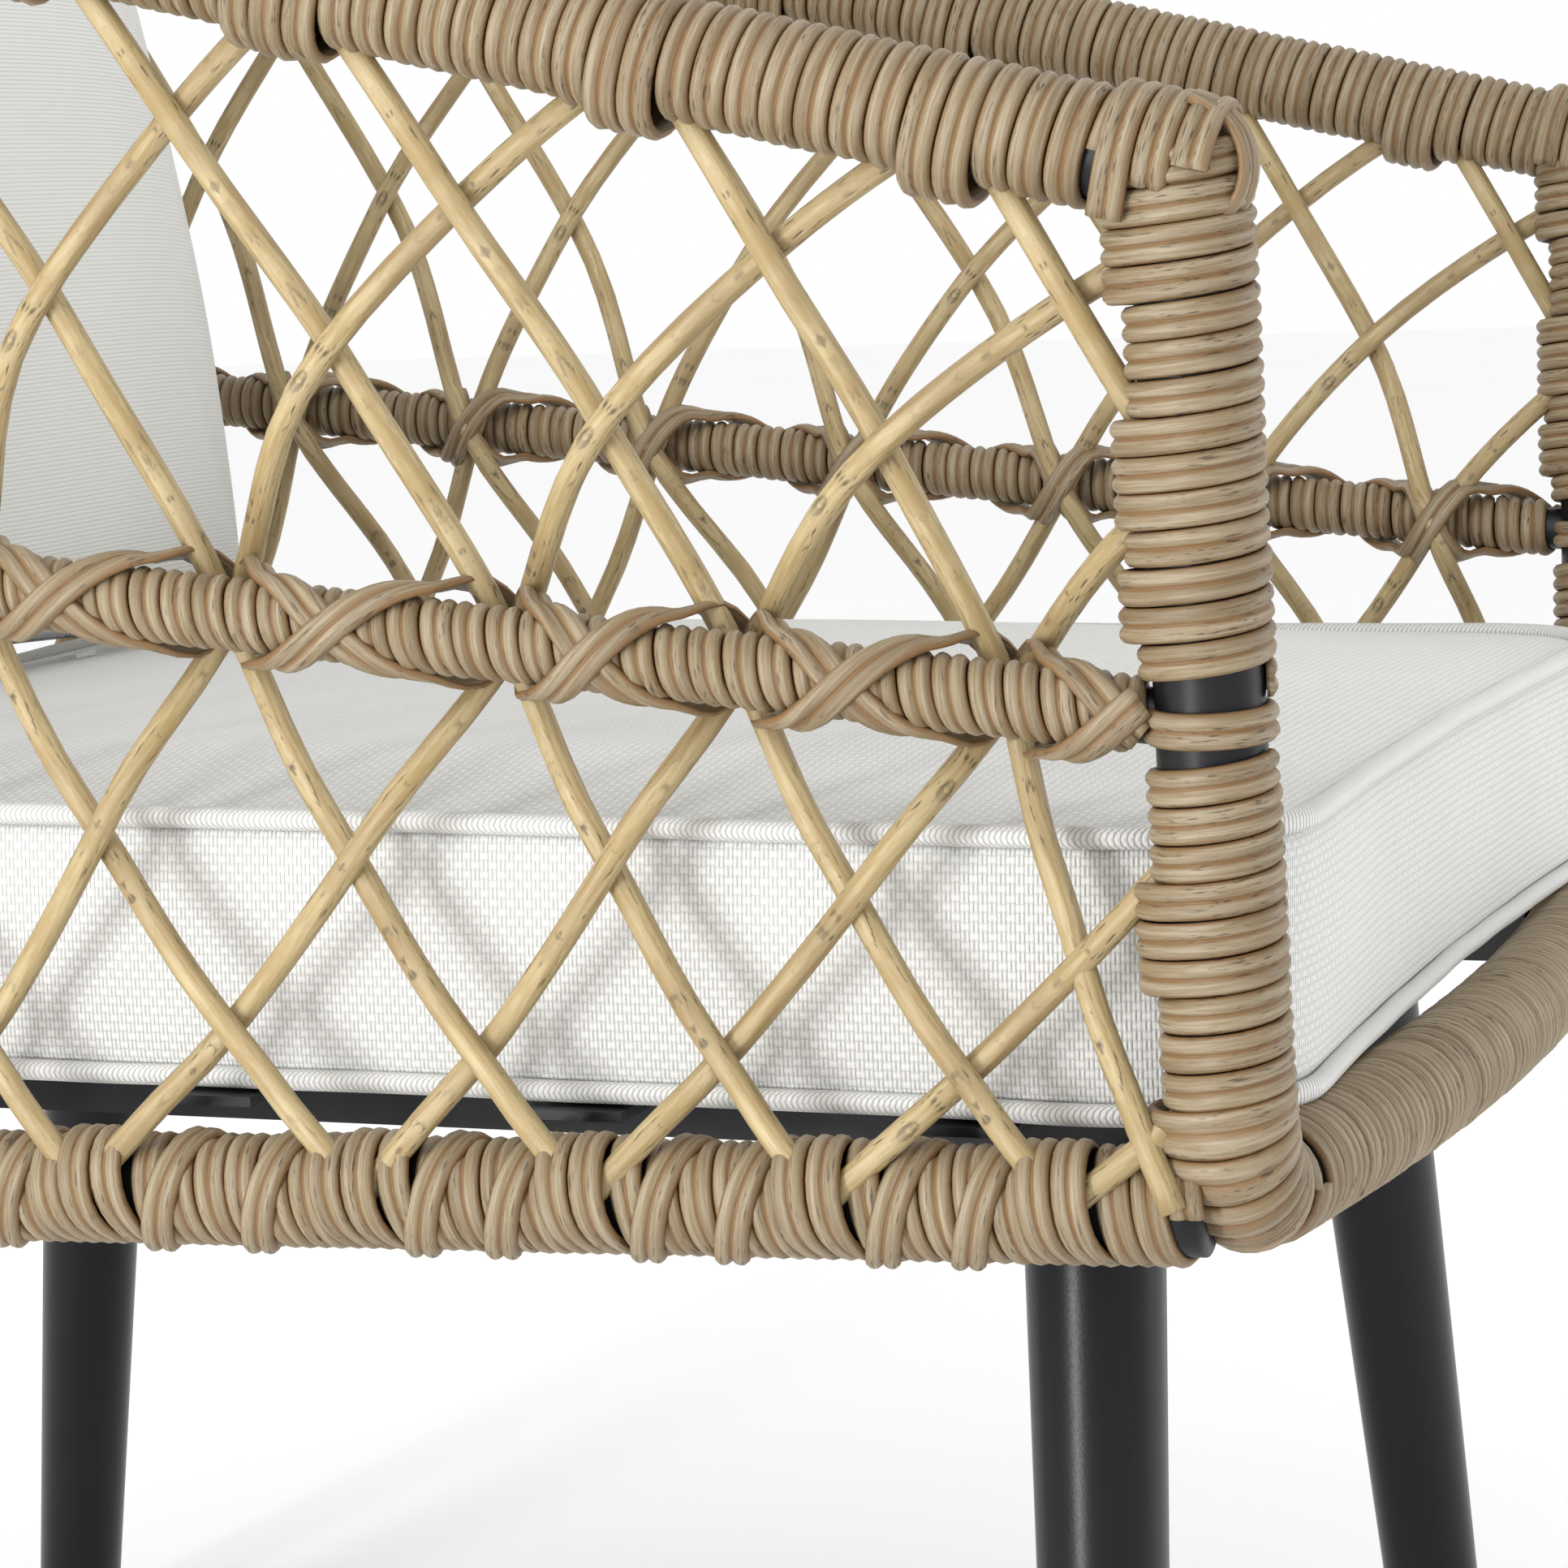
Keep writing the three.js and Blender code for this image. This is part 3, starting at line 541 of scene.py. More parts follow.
class Recipe:
    """One material, written node by node."""

    def __init__(self, name: str) -> None:
        """Starts a material with a Principled shader."""
        self.material = bpy.data.materials.new(name)
        self.material.use_nodes = True
        self.nodes = self.material.node_tree.nodes
        self.links = self.material.node_tree.links
        self.shader = self.nodes["Principled BSDF"]

    def node(self, kind: str, settings: dict, sockets: dict, output: int | str = 0) -> Wire:
        """Adds a node.

        Args:
            kind: Its type.
            settings: Its own settings, set first.
            sockets: Values or wires for its inputs, by name or number.
            output: Which output to read.

        Returns:
            The wire from that output.
        """
        made = self.nodes.new(kind)
        for key, value in settings.items():
            setattr(made, key, value)
        for key, value in sockets.items():
            self.plug(made.inputs[key], value)
        return Wire(self, made.outputs[output])

    def plug(self, socket: bpy.types.NodeSocket, value: "Wire | float | Sequence[float]") -> None:
        """Links or sets one socket."""
        if isinstance(value, Wire):
            self.links.new(value.socket, socket)
        else:
            socket.default_value = value

    def coordinates(self, uv: bool) -> Wire:
        """The piece's own UV map, or its object coordinates."""
        return self.node("ShaderNodeTexCoord", {}, {}, "UV" if uv else "Object")

    def split(self, vector: Wire) -> tuple[Wire, Wire, Wire]:
        """A vector's three parts."""
        x = self.node("ShaderNodeSeparateXYZ", {}, {0: vector})
        return x, Wire(self, x.socket.node.outputs[1]), Wire(self, x.socket.node.outputs[2])

    def stretched(self, vector: Wire, scale: Sequence[float]) -> Wire:
        """A vector scaled on each axis."""
        return self.node("ShaderNodeMapping", {}, {"Vector": vector, "Scale": scale})

    def noise(self, vector: Wire, scale: float, detail: float = 2.0, rough: float = 0.5) -> Wire:
        """Noise from 0 to 1."""
        sockets = {"Vector": vector, "Scale": scale, "Detail": detail, "Roughness": rough}
        return self.node("ShaderNodeTexNoise", {}, sockets)

    def mix(self, amount: Wire | float, low: "Wire | Sequence[float]",
            high: "Wire | Sequence[float]") -> Wire:
        """A colour between two."""
        made = self.nodes.new("ShaderNodeMix")
        made.data_type = "RGBA"
        for socket, value in ((made.inputs[0], amount), (made.inputs[6], low), (made.inputs[7], high)):
            self.plug(socket, value)
        return Wire(self, made.outputs[2])

    def bump(self, height: Wire, depth: float, under: Wire | None = None) -> Wire:
        """A bump of a real depth in metres, laid over another."""
        sockets = {"Height": height, "Distance": depth, "Strength": 1.0}
        if under:
            sockets["Normal"] = under
        return self.node("ShaderNodeBump", {}, sockets)

    def finish(self, **sockets: "Wire | float | Sequence[float]") -> bpy.types.Material:
        """Sets the shader's sockets, spaces in their names written as underscores."""
        for key, value in sockets.items():
            self.plug(self.shader.inputs[key.replace("_", " ")], value)
        return self.material


def shade(red: float, green: float, blue: float) -> tuple[float, float, float, float]:
    """A colour given in display values from 0 to 255."""
    return (*((c / 255) ** 2.2 for c in (red, green, blue)), 1.0)


# ---- finishes -----------------------------------------------------------------------------
@dataclass(frozen=True)
class Wicker:
    """Resin strip or strand: straw to grey-tan, streaked and flecked along its length; on the flat strip the
    ridge tops are left greyer than the warm valleys as a painted sheen.
    """

    pale: tuple[float, float, float] = (148, 136, 114)
    tan: tuple[float, float, float] = (122, 104, 76)
    brown: tuple[float, float, float] = (92, 73, 48)
    fleck: tuple[float, float, float] = (50, 43, 36)
    # warm tan of the valleys and edges; the greyer ridge tops between them stand for a painted sheen
    valley: tuple[float, float, float] = (118, 88, 54)
    ridge: float = 0.0052
    flat: bool = True

    def build(self, name: str) -> bpy.types.Material:
        """Makes the material; the UV map runs along and across in metres."""
        recipe = Recipe(name)
        uv = recipe.coordinates(uv=True)
        along = recipe.stretched(uv, (38, 900, 1))
        streak = recipe.noise(along, 1.0, 5.0, 0.62)
        broad = recipe.noise(recipe.stretched(uv, (14, 160, 1)), 1.0, 2.0, 0.5)
        grain = recipe.noise(recipe.stretched(uv, (170, 2600, 1)), 1.0, 3.0, 0.6)
        marks = recipe.noise(recipe.stretched(uv, (150, 1150, 1)), 1.0, 2.0, 0.55)
        patches = recipe.noise(recipe.stretched(uv, (22, 210, 1)), 1.0, 2.0, 0.5)
        colour = recipe.mix(streak.ramp(0.35, 0.68), shade(*self.tan), shade(*self.pale))
        colour = recipe.mix(broad.ramp(0.45, 0.72) * 0.5, colour, shade(*self.brown))
        # Painted sheen: the ridge tops keep the greyer base colour as a painted highlight, while the valleys
        # and edges take the warm valley colour.
        if self.flat:
            _, across, _ = recipe.split(uv)
            valley = (across / self.ridge * math.pi).sin().abs()
            sheen_free_valleys = (1 - valley.ramp(0.12, 0.72)) * 0.85
            colour = recipe.mix(sheen_free_valleys, colour, shade(*self.valley))
        dark = marks.ramp(0.56, 0.70) * patches.ramp(0.40, 0.62)
        colour = recipe.mix(dark * 0.80, colour, shade(*self.fleck))
        height = grain * 0.5 + streak * 0.5 - dark * 0.35
        rough = 0.42 + grain * 0.16 + dark * 0.12
        return recipe.finish(Base_Color=colour, Roughness=rough, Normal=recipe.bump(height, 0.00028),
                             Specular_IOR_Level=0.5)


@dataclass(frozen=True)
class Paint:
    """Satin powder coat on steel, with a fine orange peel."""

    colour: tuple[float, float, float] = (18, 19, 23)
    roughness: float = 0.36
    peel: float = 0.00004
    gloss: float = 0.3

    def build(self, name: str) -> bpy.types.Material:
        """Makes the material on object coordinates."""
        recipe = Recipe(name)
        spot = recipe.coordinates(uv=False)
        peel = recipe.noise(spot, 900.0, 3.0, 0.6)
        cloud = recipe.noise(spot, 22.0, 2.0)
        lighter = tuple(c + 7 for c in self.colour)
        colour = recipe.mix(cloud, shade(*self.colour), shade(*lighter))
        return recipe.finish(Base_Color=colour, Roughness=self.roughness + peel * 0.10, Metallic=0.0,
                             Normal=recipe.bump(peel, self.peel), Specular_IOR_Level=self.gloss)


@dataclass(frozen=True)
class Rubber:
    """Matt moulded rubber."""

    colour: tuple[float, float, float] = (24, 24, 26)

    def build(self, name: str) -> bpy.types.Material:
        """Makes the material on object coordinates."""
        recipe = Recipe(name)
        grain = recipe.noise(recipe.coordinates(uv=False), 700.0, 4.0)
        colour = recipe.mix(grain, shade(*self.colour), shade(40, 40, 42))
        return recipe.finish(Base_Color=colour, Roughness=0.72 + grain * 0.15,
                             Normal=recipe.bump(grain, 0.00005))


@dataclass(frozen=True)
class Zip:
    """Brushed zinc of the zip's slider."""

    def build(self, name: str) -> bpy.types.Material:
        """Makes the material on object coordinates."""
        recipe = Recipe(name)
        brush = recipe.noise(recipe.stretched(recipe.coordinates(uv=False), (300, 300, 3000)), 1.0, 3.0)
        colour = recipe.mix(brush, shade(150, 150, 152), shade(205, 205, 207))
        return recipe.finish(Base_Color=colour, Metallic=1.0, Roughness=0.26 + brush * 0.14)


class Weave(Enum):
    """How a cloth is woven."""

    BASKET = "basket"
    TWILL = "twill"
    RIB = "rib"


@dataclass(frozen=True)
class Cloth:
    """Woven outdoor cloth; the UV map runs along and across in metres."""

    weave: Weave
    colour: tuple[float, float, float]
    shadow: tuple[float, float, float]
    cell: float
    depth: float = 0.00045

    def build(self, name: str) -> bpy.types.Material:
        """Makes the material."""
        recipe = Recipe(name)
        uv = recipe.coordinates(uv=True)
        x, y, _ = recipe.split(uv)
        height = getattr(self, f"_{self.weave.value}")(recipe, x / self.cell, y / self.cell)
        fibre = recipe.noise(recipe.stretched(uv, (1, 1, 1)), 2600.0, 3.0, 0.6)
        cloud = recipe.noise(recipe.stretched(uv, (1, 1, 1)), 9.0, 3.0)
        colour = recipe.mix(height.ramp(0.10, 0.72), shade(*self.shadow), shade(*self.colour))
        paler = tuple(min(c + 8, 250) for c in self.colour)
        colour = recipe.mix(cloud * 0.5, colour, shade(*paler))
        colour = recipe.mix((fibre * 0.22), colour, shade(*self.shadow))
        raised = height + fibre * 0.25
        return recipe.finish(Base_Color=colour, Roughness=0.86 + fibre * 0.1, Sheen_Weight=0.25,
                             Sheen_Roughness=0.5, Normal=recipe.bump(raised, self.depth),
                             Specular_IOR_Level=0.25)

    @staticmethod
    def _basket(_recipe: Recipe, x: Wire, y: Wire) -> Wire:
        """Pairs of upright threads, crossed by single level ones at every other cell."""
        upright = (x * TAU).sin().abs()
        level = (y * math.pi).sin().abs()
        turn = ((x.floor() + y.floor()) * 0.5).fract() > 0.25
        over = upright * (0.62 + 0.38 * level)
        under = level * (0.55 + 0.20 * (x * math.pi).sin().abs())
        return turn * over + (1 - turn) * (under * 0.55 + over * 0.42)

    @staticmethod
    def _twill(_recipe: Recipe, x: Wire, y: Wire) -> Wire:
        """Slanting ribs of a bias-cut strip."""
        return ((x + y) * math.pi).sin().abs() * (0.7 + 0.3 * ((x - y) * math.pi).sin().abs())

    @staticmethod
    def _rib(_recipe: Recipe, x: Wire, y: Wire) -> Wire:
        """Fine level ribs of closely set threads."""
        return (y * math.pi).sin().abs() * (0.72 + 0.28 * (x * math.pi * 0.8).sin().abs())


class Finishes:
    """Every material, made once."""

    def __init__(self) -> None:
        """Mixes the materials."""
        self.strip = Wicker().build("wicker_strip")
        strand = Wicker(pale=(172, 155, 118), tan=(148, 127, 86), brown=(116, 94, 60), flat=False)
        self.strand = strand.build("wicker_strand")
        self.steel = Paint().build("black_powder_coat")
        leg = Paint(colour=(14, 15, 19), roughness=0.26, peel=0.00005, gloss=0.27)
        self.leg = leg.build("leg_powder_coat")
        self.rubber = Rubber().build("foot_rubber")
        self.metal = Zip().build("zip_slider_metal")
        seat = Cloth(Weave.BASKET, (221, 221, 218), (170, 170, 168), 0.0028)
        self.seat = seat.build("seat_basket_weave")
        self.welt = Cloth(Weave.TWILL, (219, 219, 216), (172, 172, 170), 0.0018).build("seat_bias_welt")
        pillow = Cloth(Weave.RIB, (211, 211, 207), (188, 188, 185), 0.0016, 0.00016)
        self.pillow = pillow.build("pillow_rib_weave")
        self.tape = Cloth(Weave.RIB, (214, 214, 212), (150, 150, 150), 0.0014, 0.0004).build("zip_tape")


# ---- wound wicker -------------------------------------------------------------------------
@dataclass
class Sleeve:
    """A strip wound turn by turn round a tube, between two places on its line."""

    line: Line
    start: float
    end: float
    radius: float
    pitch: float = 0.0104
    facets: int = 28
    thick: float = 0.0030
    lean: float = 0.0
    seed: float = 1.0
    bulge: Callable[[float, float], float] = field(default=lambda s, angle: 0.0)

    def add(self, bm: bmesh.types.BMesh) -> None:
        """Winds the strip and adds it to a mesh."""
        turns = max(round((self.end - self.start) / self.pitch) - 1, 1)
        pitch = (self.end - self.start) / (turns + 1)
        around = TAU * (self.radius + self.thick)
        section = Section.strip(pitch * 0.985, self.thick)

        def place(u: float, across: float, up: float) -> Vector:
            """Bends the straight strip round the tube."""
            turn = u / around
            angle = turn * TAU
            centre = self.start + pitch * (turn + 0.5)
            stray = wobble(turn * 0.9, self.seed) * 0.00045
            s = centre + across + stray + self.lean * self.radius * math.sin(angle)
            swell = self.bulge(centre, angle % TAU)
            radius = self.radius + up + swell + wobble(turn * 1.3, self.seed + 5) * 0.00035
            return self.line.round(s, angle, radius)

        add_stock(bm, section, around * turns, turns * self.facets, place)


@dataclass
class Strap:
    """A single strip laid over other work, along a path given by a place on the line and an angle."""

    line: Line
    route: Callable[[float], tuple[float, float, float]]
    steps: int
    length: float
    width: float = 0.0104
    thick: float = 0.0030

    def add(self, bm: bmesh.types.BMesh) -> None:
        """Lays the strip and adds it to a mesh."""
        def place(u: float, across: float, up: float) -> Vector:
            """Bends the straight strip along its route."""
            t = u / self.length
            step = 0.5 / self.steps
            s, angle, radius = self.route(t)
            s0, a0, _ = self.route(t - step)
            s1, a1, _ = self.route(t + step)
            run, turn = s1 - s0, (a1 - a0) * radius
            size = math.hypot(run, turn) or 1.0
            beside = s - across * turn / size
            return self.line.round(beside, angle + across * run / size / radius, radius + up)

        add_stock(bm, Section.strip(self.width, self.thick), self.length, self.steps, place)


class Window:
    """A soft patch on a sleeve, centred on a place and an angle."""

    def __init__(self, s: float, angle: float, height: float, half_length: float, half_angle: float) -> None:
        """Stores the patch."""
        self.s, self.angle, self.height = s, angle, height
        self.half_length, self.half_angle = half_length, half_angle

    def at(self, s: float, angle: float) -> float:
        """How far it lifts the strip at a place and an angle."""
        away = abs(s - self.s)
        if away > self.half_length * 1.35:
            return 0.0
        off = abs((angle - self.angle + math.pi) % TAU - math.pi) / self.half_angle
        if off >= 1:
            return 0.0
        along = 1 - smooth((away / self.half_length - 0.85) * 2.0)
        return self.height * along * (0.5 + 0.5 * math.cos(math.pi * off))


def lifted(windows: Sequence[Window]) -> Callable[[float, float], float]:
    """The greatest lift of several patches."""
    return lambda s, angle: max((w.at(s, angle) for w in windows), default=0.0)


class Steel:
    """The welded tubes under the wicker."""

    frame_tube = 0.0155
    rail_tube = 0.0140
    middle_tube = 0.0080
    upright_tube = 0.0100

    def __init__(self, skeleton: Skeleton, finishes: Finishes) -> None:
        """Takes the lines and the finishes."""
        self.skeleton, self.finishes = skeleton, finishes

    def _tube(self, name: str, line: Line, radius: float, start: float, end: float, node: str) -> None:
        """A smooth round tube along a line, in place of its node."""
        bm = bmesh.new()
        steps = max(int((end - start) / 0.008), 8)
        length = end - start

        def place(u: float, across: float, up: float) -> Vector:
            """Bends the tube along its line."""
            point, _, out, third = line.frame(start + u)
            return point + out * across + third * up

        add_stock(bm, Section.ring(radius, 28), length, steps, place)
        piece = make_piece(name, "frame", bm, self.finishes.steel, "frame_steel")
        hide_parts(node)

    def build(self) -> None:
        """Makes the tubes."""
        bones = self.skeleton
        self._tube("front_frame", bones.front, self.frame_tube, 0, bones.front.length, "front_frame_tube")
        rails = (("seat", bones.seat, self.rail_tube), ("middle", bones.middle, self.middle_tube),
                 ("top", bones.top, self.rail_tube))
        for name, rail, radius in rails:
            trim = self.frame_tube * 0.5 if name != "top" else 0.0
            self._tube(f"{name}_rail", rail.line, radius, trim, rail.length - trim, f"{name}_rail_tube")
        for side in Side:
            for part, low, high in (("lower", bones.seat, bones.middle), ("upper", bones.middle, bones.top)):
                line = bones.upright(side, low, high)
                name = f"rear_upright_{part}_{side.label}"
                self._tube(f"rear_{part}_{side.label}", line, self.upright_tube, self.middle_tube,
                           line.length - self.middle_tube, name)


class Wrapping:
    """The wicker strip wound round every tube, with its bindings, crossings and corners."""

    post = 0.0160
    front = 0.0155
    rail = 0.0142
    middle = 0.0082
    upright = 0.0102
    strand = 0.0040
    seat_start = 0.0045
    middle_start = 0.0150
    corner_end = 0.0135
    corner_gap = 0.0006
    tucked_upper = (0.022, 0.083, 0.118)
    tucked_lower = (0.060, 0.122)
    # height, half length and half angle of the swelling over a strand's end
    post_swell = (0.0052, 0.013, math.radians(80))
    seat_swell = (0.0085, 0.0105, math.radians(92))
    top_swell = (0.0062, 0.0105, math.radians(95))
    joint_gap = 0.0140

    def __init__(self, skeleton: Skeleton, finishes: Finishes) -> None:
        """Takes the lines and the finishes."""
        self.skeleton, self.finishes = skeleton, finishes

    def _piece(self, name: str, parts: Iterable[Sleeve | Strap], nodes: Sequence[str]) -> bpy.types.Object:
        """Makes one piece of wound work that stands for some nodes."""
        bm = bmesh.new()
        for part in parts:
            part.add(bm)
        piece = make_piece(name, "frame", bm, self.finishes.strip, "wicker")
        if nodes:
            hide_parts(*nodes)
        return piece

    # Angles round a rail's line: 0 is outwards, a quarter turn is up or down by the line's third side.
    def _up_angle(self, line: Line, s: float) -> float:
        """The angle round a line that points up."""
        _, _, _, third = line.frame(s)
        return math.pi / 2 if third.z > 0 else -math.pi / 2

    def _ties(self, rail: Rail, start: float, end: float) -> list[float]:
        """The places of the ties on a stretch of rail."""
        places = (rail.tie(k) * rail.length for k in range(rail.ties))
        return [place for place in places if start < place < end]

    def _stretches(self, rail: Rail) -> list[tuple[str, float, float]]:
        """A rail's left, back and right stretches."""
        starts = {self.skeleton.seat: self.seat_start, self.skeleton.middle: self.middle_start}
        front = starts.get(rail, self.corner_end)
        corner = rail.corner
        half = self.corner_gap / 2
        far = rail.length - corner
        return [("left", front, corner - half), ("back", corner + half, far - half),
                ("right", far + half, rail.length - front)]

    def build_posts(self) -> None:
        """Both posts: a lower sleeve round the bend, a gap bridged by one turn, and an upper sleeve."""
        bones = self.skeleton
        line = bones.front
        middle_at = (PATTERN.arm_height - PATTERN.mid_height) / (PATTERN.arm_height - PATTERN.rail_height
                                                                 - PATTERN.post_bend) * bones.post_length
        gap = self.joint_gap / 2
        tucked = (*self.tucked_upper, *(middle_at + below for below in self.tucked_lower))
        for side in Side:
            def place(s: float) -> float:
                """Counts from either post's top."""
                return s if side is Side.LEFT else line.length - s

            bulge = lifted([Window(place(s), math.pi, *self.post_swell) for s in tucked])
            upper = sorted((place(-0.009), place(middle_at - gap)))
            lower = sorted((place(middle_at + gap), place(bones.bend_end)))
            self._piece(f"post_upper_wicker_{side.label}", [
                Sleeve(line, upper[0], upper[1], self.post, bulge=bulge, seed=3),
                self._ring(line, place(middle_at)),
            ], [f"wrap_post_upper_{side.label}"])
            self._piece(f"post_lower_wicker_{side.label}", [
                Sleeve(line, lower[0], lower[1], self.post, bulge=bulge, seed=5),
            ], [f"wrap_post_lower_{side.label}"])
        self._piece("front_rail_wicker", [
            Sleeve(line, bones.bend_end + 0.0003, line.length - bones.bend_end - 0.0003, self.front, seed=6),
        ], ["wrap_front_rail"])

    def _ring(self, line: Line, s: float) -> Strap:
        """One level turn of strip round a post, its ends meeting at the back."""
        def route(t: float) -> tuple[float, float, float]:
            """Once round."""
            return s, TAU * t - math.pi, self.post

        return Strap(line, route, 32, TAU * self.post)

    def build_seat_rail(self) -> None:
        """Turns with raised bindings over the strands' ends and slanted straps between them."""
        rail = self.skeleton.seat
        line = rail.line
        for part, start, end in self._stretches(rail):
            ties = self._ties(rail, start, end)
            up = self._up_angle(line, start)
            bulge = lifted([Window(s, up * 0.32, *self.seat_swell) for s in ties])
            sleeve = Sleeve(line, start, end, self.rail, bulge=bulge, lean=0.04, seed=8)
            parts: list[Sleeve | Strap] = [sleeve]
            forward = 1 if part != "right" else -1
            for here, there in zip(ties, ties[1:]):
                for share in (0.36, 0.72):
                    middle = here + (there - here) * share
                    parts.append(self._slant(line, middle, up, forward))
            self._piece(f"seat_rail_wicker_{part}", parts, [f"wrap_seat_rail_{part}"])

    def _slant(self, line: Line, middle: float, up: float, forward: int) -> Strap:
        """One strap that crosses the outer face at a slant."""
        reach = math.radians(122)
        run = 0.011
        sign = 1 if up > 0 else -1

        def route(t: float) -> tuple[float, float, float]:
            """Over the outer face from above to below."""
            sweep = reach * (1 - 2 * t)
            dive = 0.0030 * smooth((abs(2 * t - 1) - 0.7) / 0.3)
            return middle - forward * run * (1 - 2 * t), sign * sweep, self.rail + 0.0022 - dive

        return Strap(line, route, 22, 0.076)

    def build_middle_rail(self) -> None:
        """Plain turns, and two straps of opposite hand that cross outside between the lattice's nodes."""
        rail = self.skeleton.middle
        line = rail.line
        over = 2 * (2 * self.strand) - 0.0030
        nodes = [rail.tie(k) * rail.length for k in range(rail.ties)]
        pitch = nodes[1] - nodes[0]
        knots = [nodes[0] - pitch, *nodes, nodes[-1] + pitch]

        def spot(x: float) -> float:
            """The place along the rail at a count of nodes."""
            i = min(max(int(math.floor(x)), 0), len(knots) - 2)
            return knots[i] + (knots[i + 1] - knots[i]) * (x - i)

        def count(s: float) -> float:
            """The count of nodes at a place along the rail."""
            i = next((j for j in range(len(knots) - 1) if knots[j + 1] >= s), len(knots) - 2)
            return i + (s - knots[i]) / (knots[i + 1] - knots[i])

        for part, start, end in self._stretches(rail):
            sleeve = Sleeve(line, start, end, self.middle, facets=24, lean=0.10, seed=10)
            parts: list[Sleeve | Strap] = [sleeve]
            first, last = count(start + 0.002), count(end - 0.002)
            for hand, lift in ((1, 0.0024), (-1, 0.0044)):
                def route(t: float, hand: int = hand, lift: float = lift) -> tuple[float, float, float]:
                    """Round the rail once for each node."""
                    x = first + (last - first) * t
                    angle = TAU * (x - 0.5) * hand
                    inner = max(-math.cos(angle), 0.0)
                    near_node = eased(((0.0, 1.0), (0.10, 0.9), (0.24, 0.0)), abs((x + 0.5) % 1 - 0.5))
                    return spot(x), angle, self.middle + lift + over * inner * near_node

                turns = last - first
                parts.append(Strap(line, route, int(turns * 32), turns * 0.102))
            self._piece(f"middle_rail_wicker_{part}", parts, [f"wrap_middle_rail_{part}"])

    def build_top_rail(self) -> None:
        """Turns that hang lower where they bind the lattice's strands."""
        rail = self.skeleton.top
        line = rail.line
        for part, start, end in self._stretches(rail):
            up = self._up_angle(line, start)
            bulge = lifted([Window(s, -up, *self.top_swell) for s in self._ties(rail, start, end)])
            lean = 0.20 * (1 if up > 0 else -1) * (-1 if part != "right" else 1)
            self._piece(f"top_rail_wicker_{part}", [
                Sleeve(line, start, end, self.rail + 0.0004, bulge=bulge, lean=lean, seed=12),
            ], [f"wrap_top_rail_{part}"])

    def build_uprights(self) -> None:
        """Plain turns on the rear uprights."""
        bones = self.skeleton
        for side in Side:
            for part, low, high in (("lower", bones.seat, bones.middle), ("upper", bones.middle, bones.top)):
                line = bones.upright(side, low, high)
                trims = (0.015, 0.010) if part == "lower" else (0.010, 0.015)
                self._piece(f"upright_{part}_wicker_{side.label}", [
                    Sleeve(line, trims[0], line.length - trims[1], self.upright, facets=24, seed=14),
                ], [f"wrap_upright_{part}_{side.label}"])

    def build(self) -> None:
        """Winds every tube."""
        self.build_posts()
        self.build_seat_rail()
        self.build_middle_rail()
        self.build_top_rail()
        self.build_uprights()


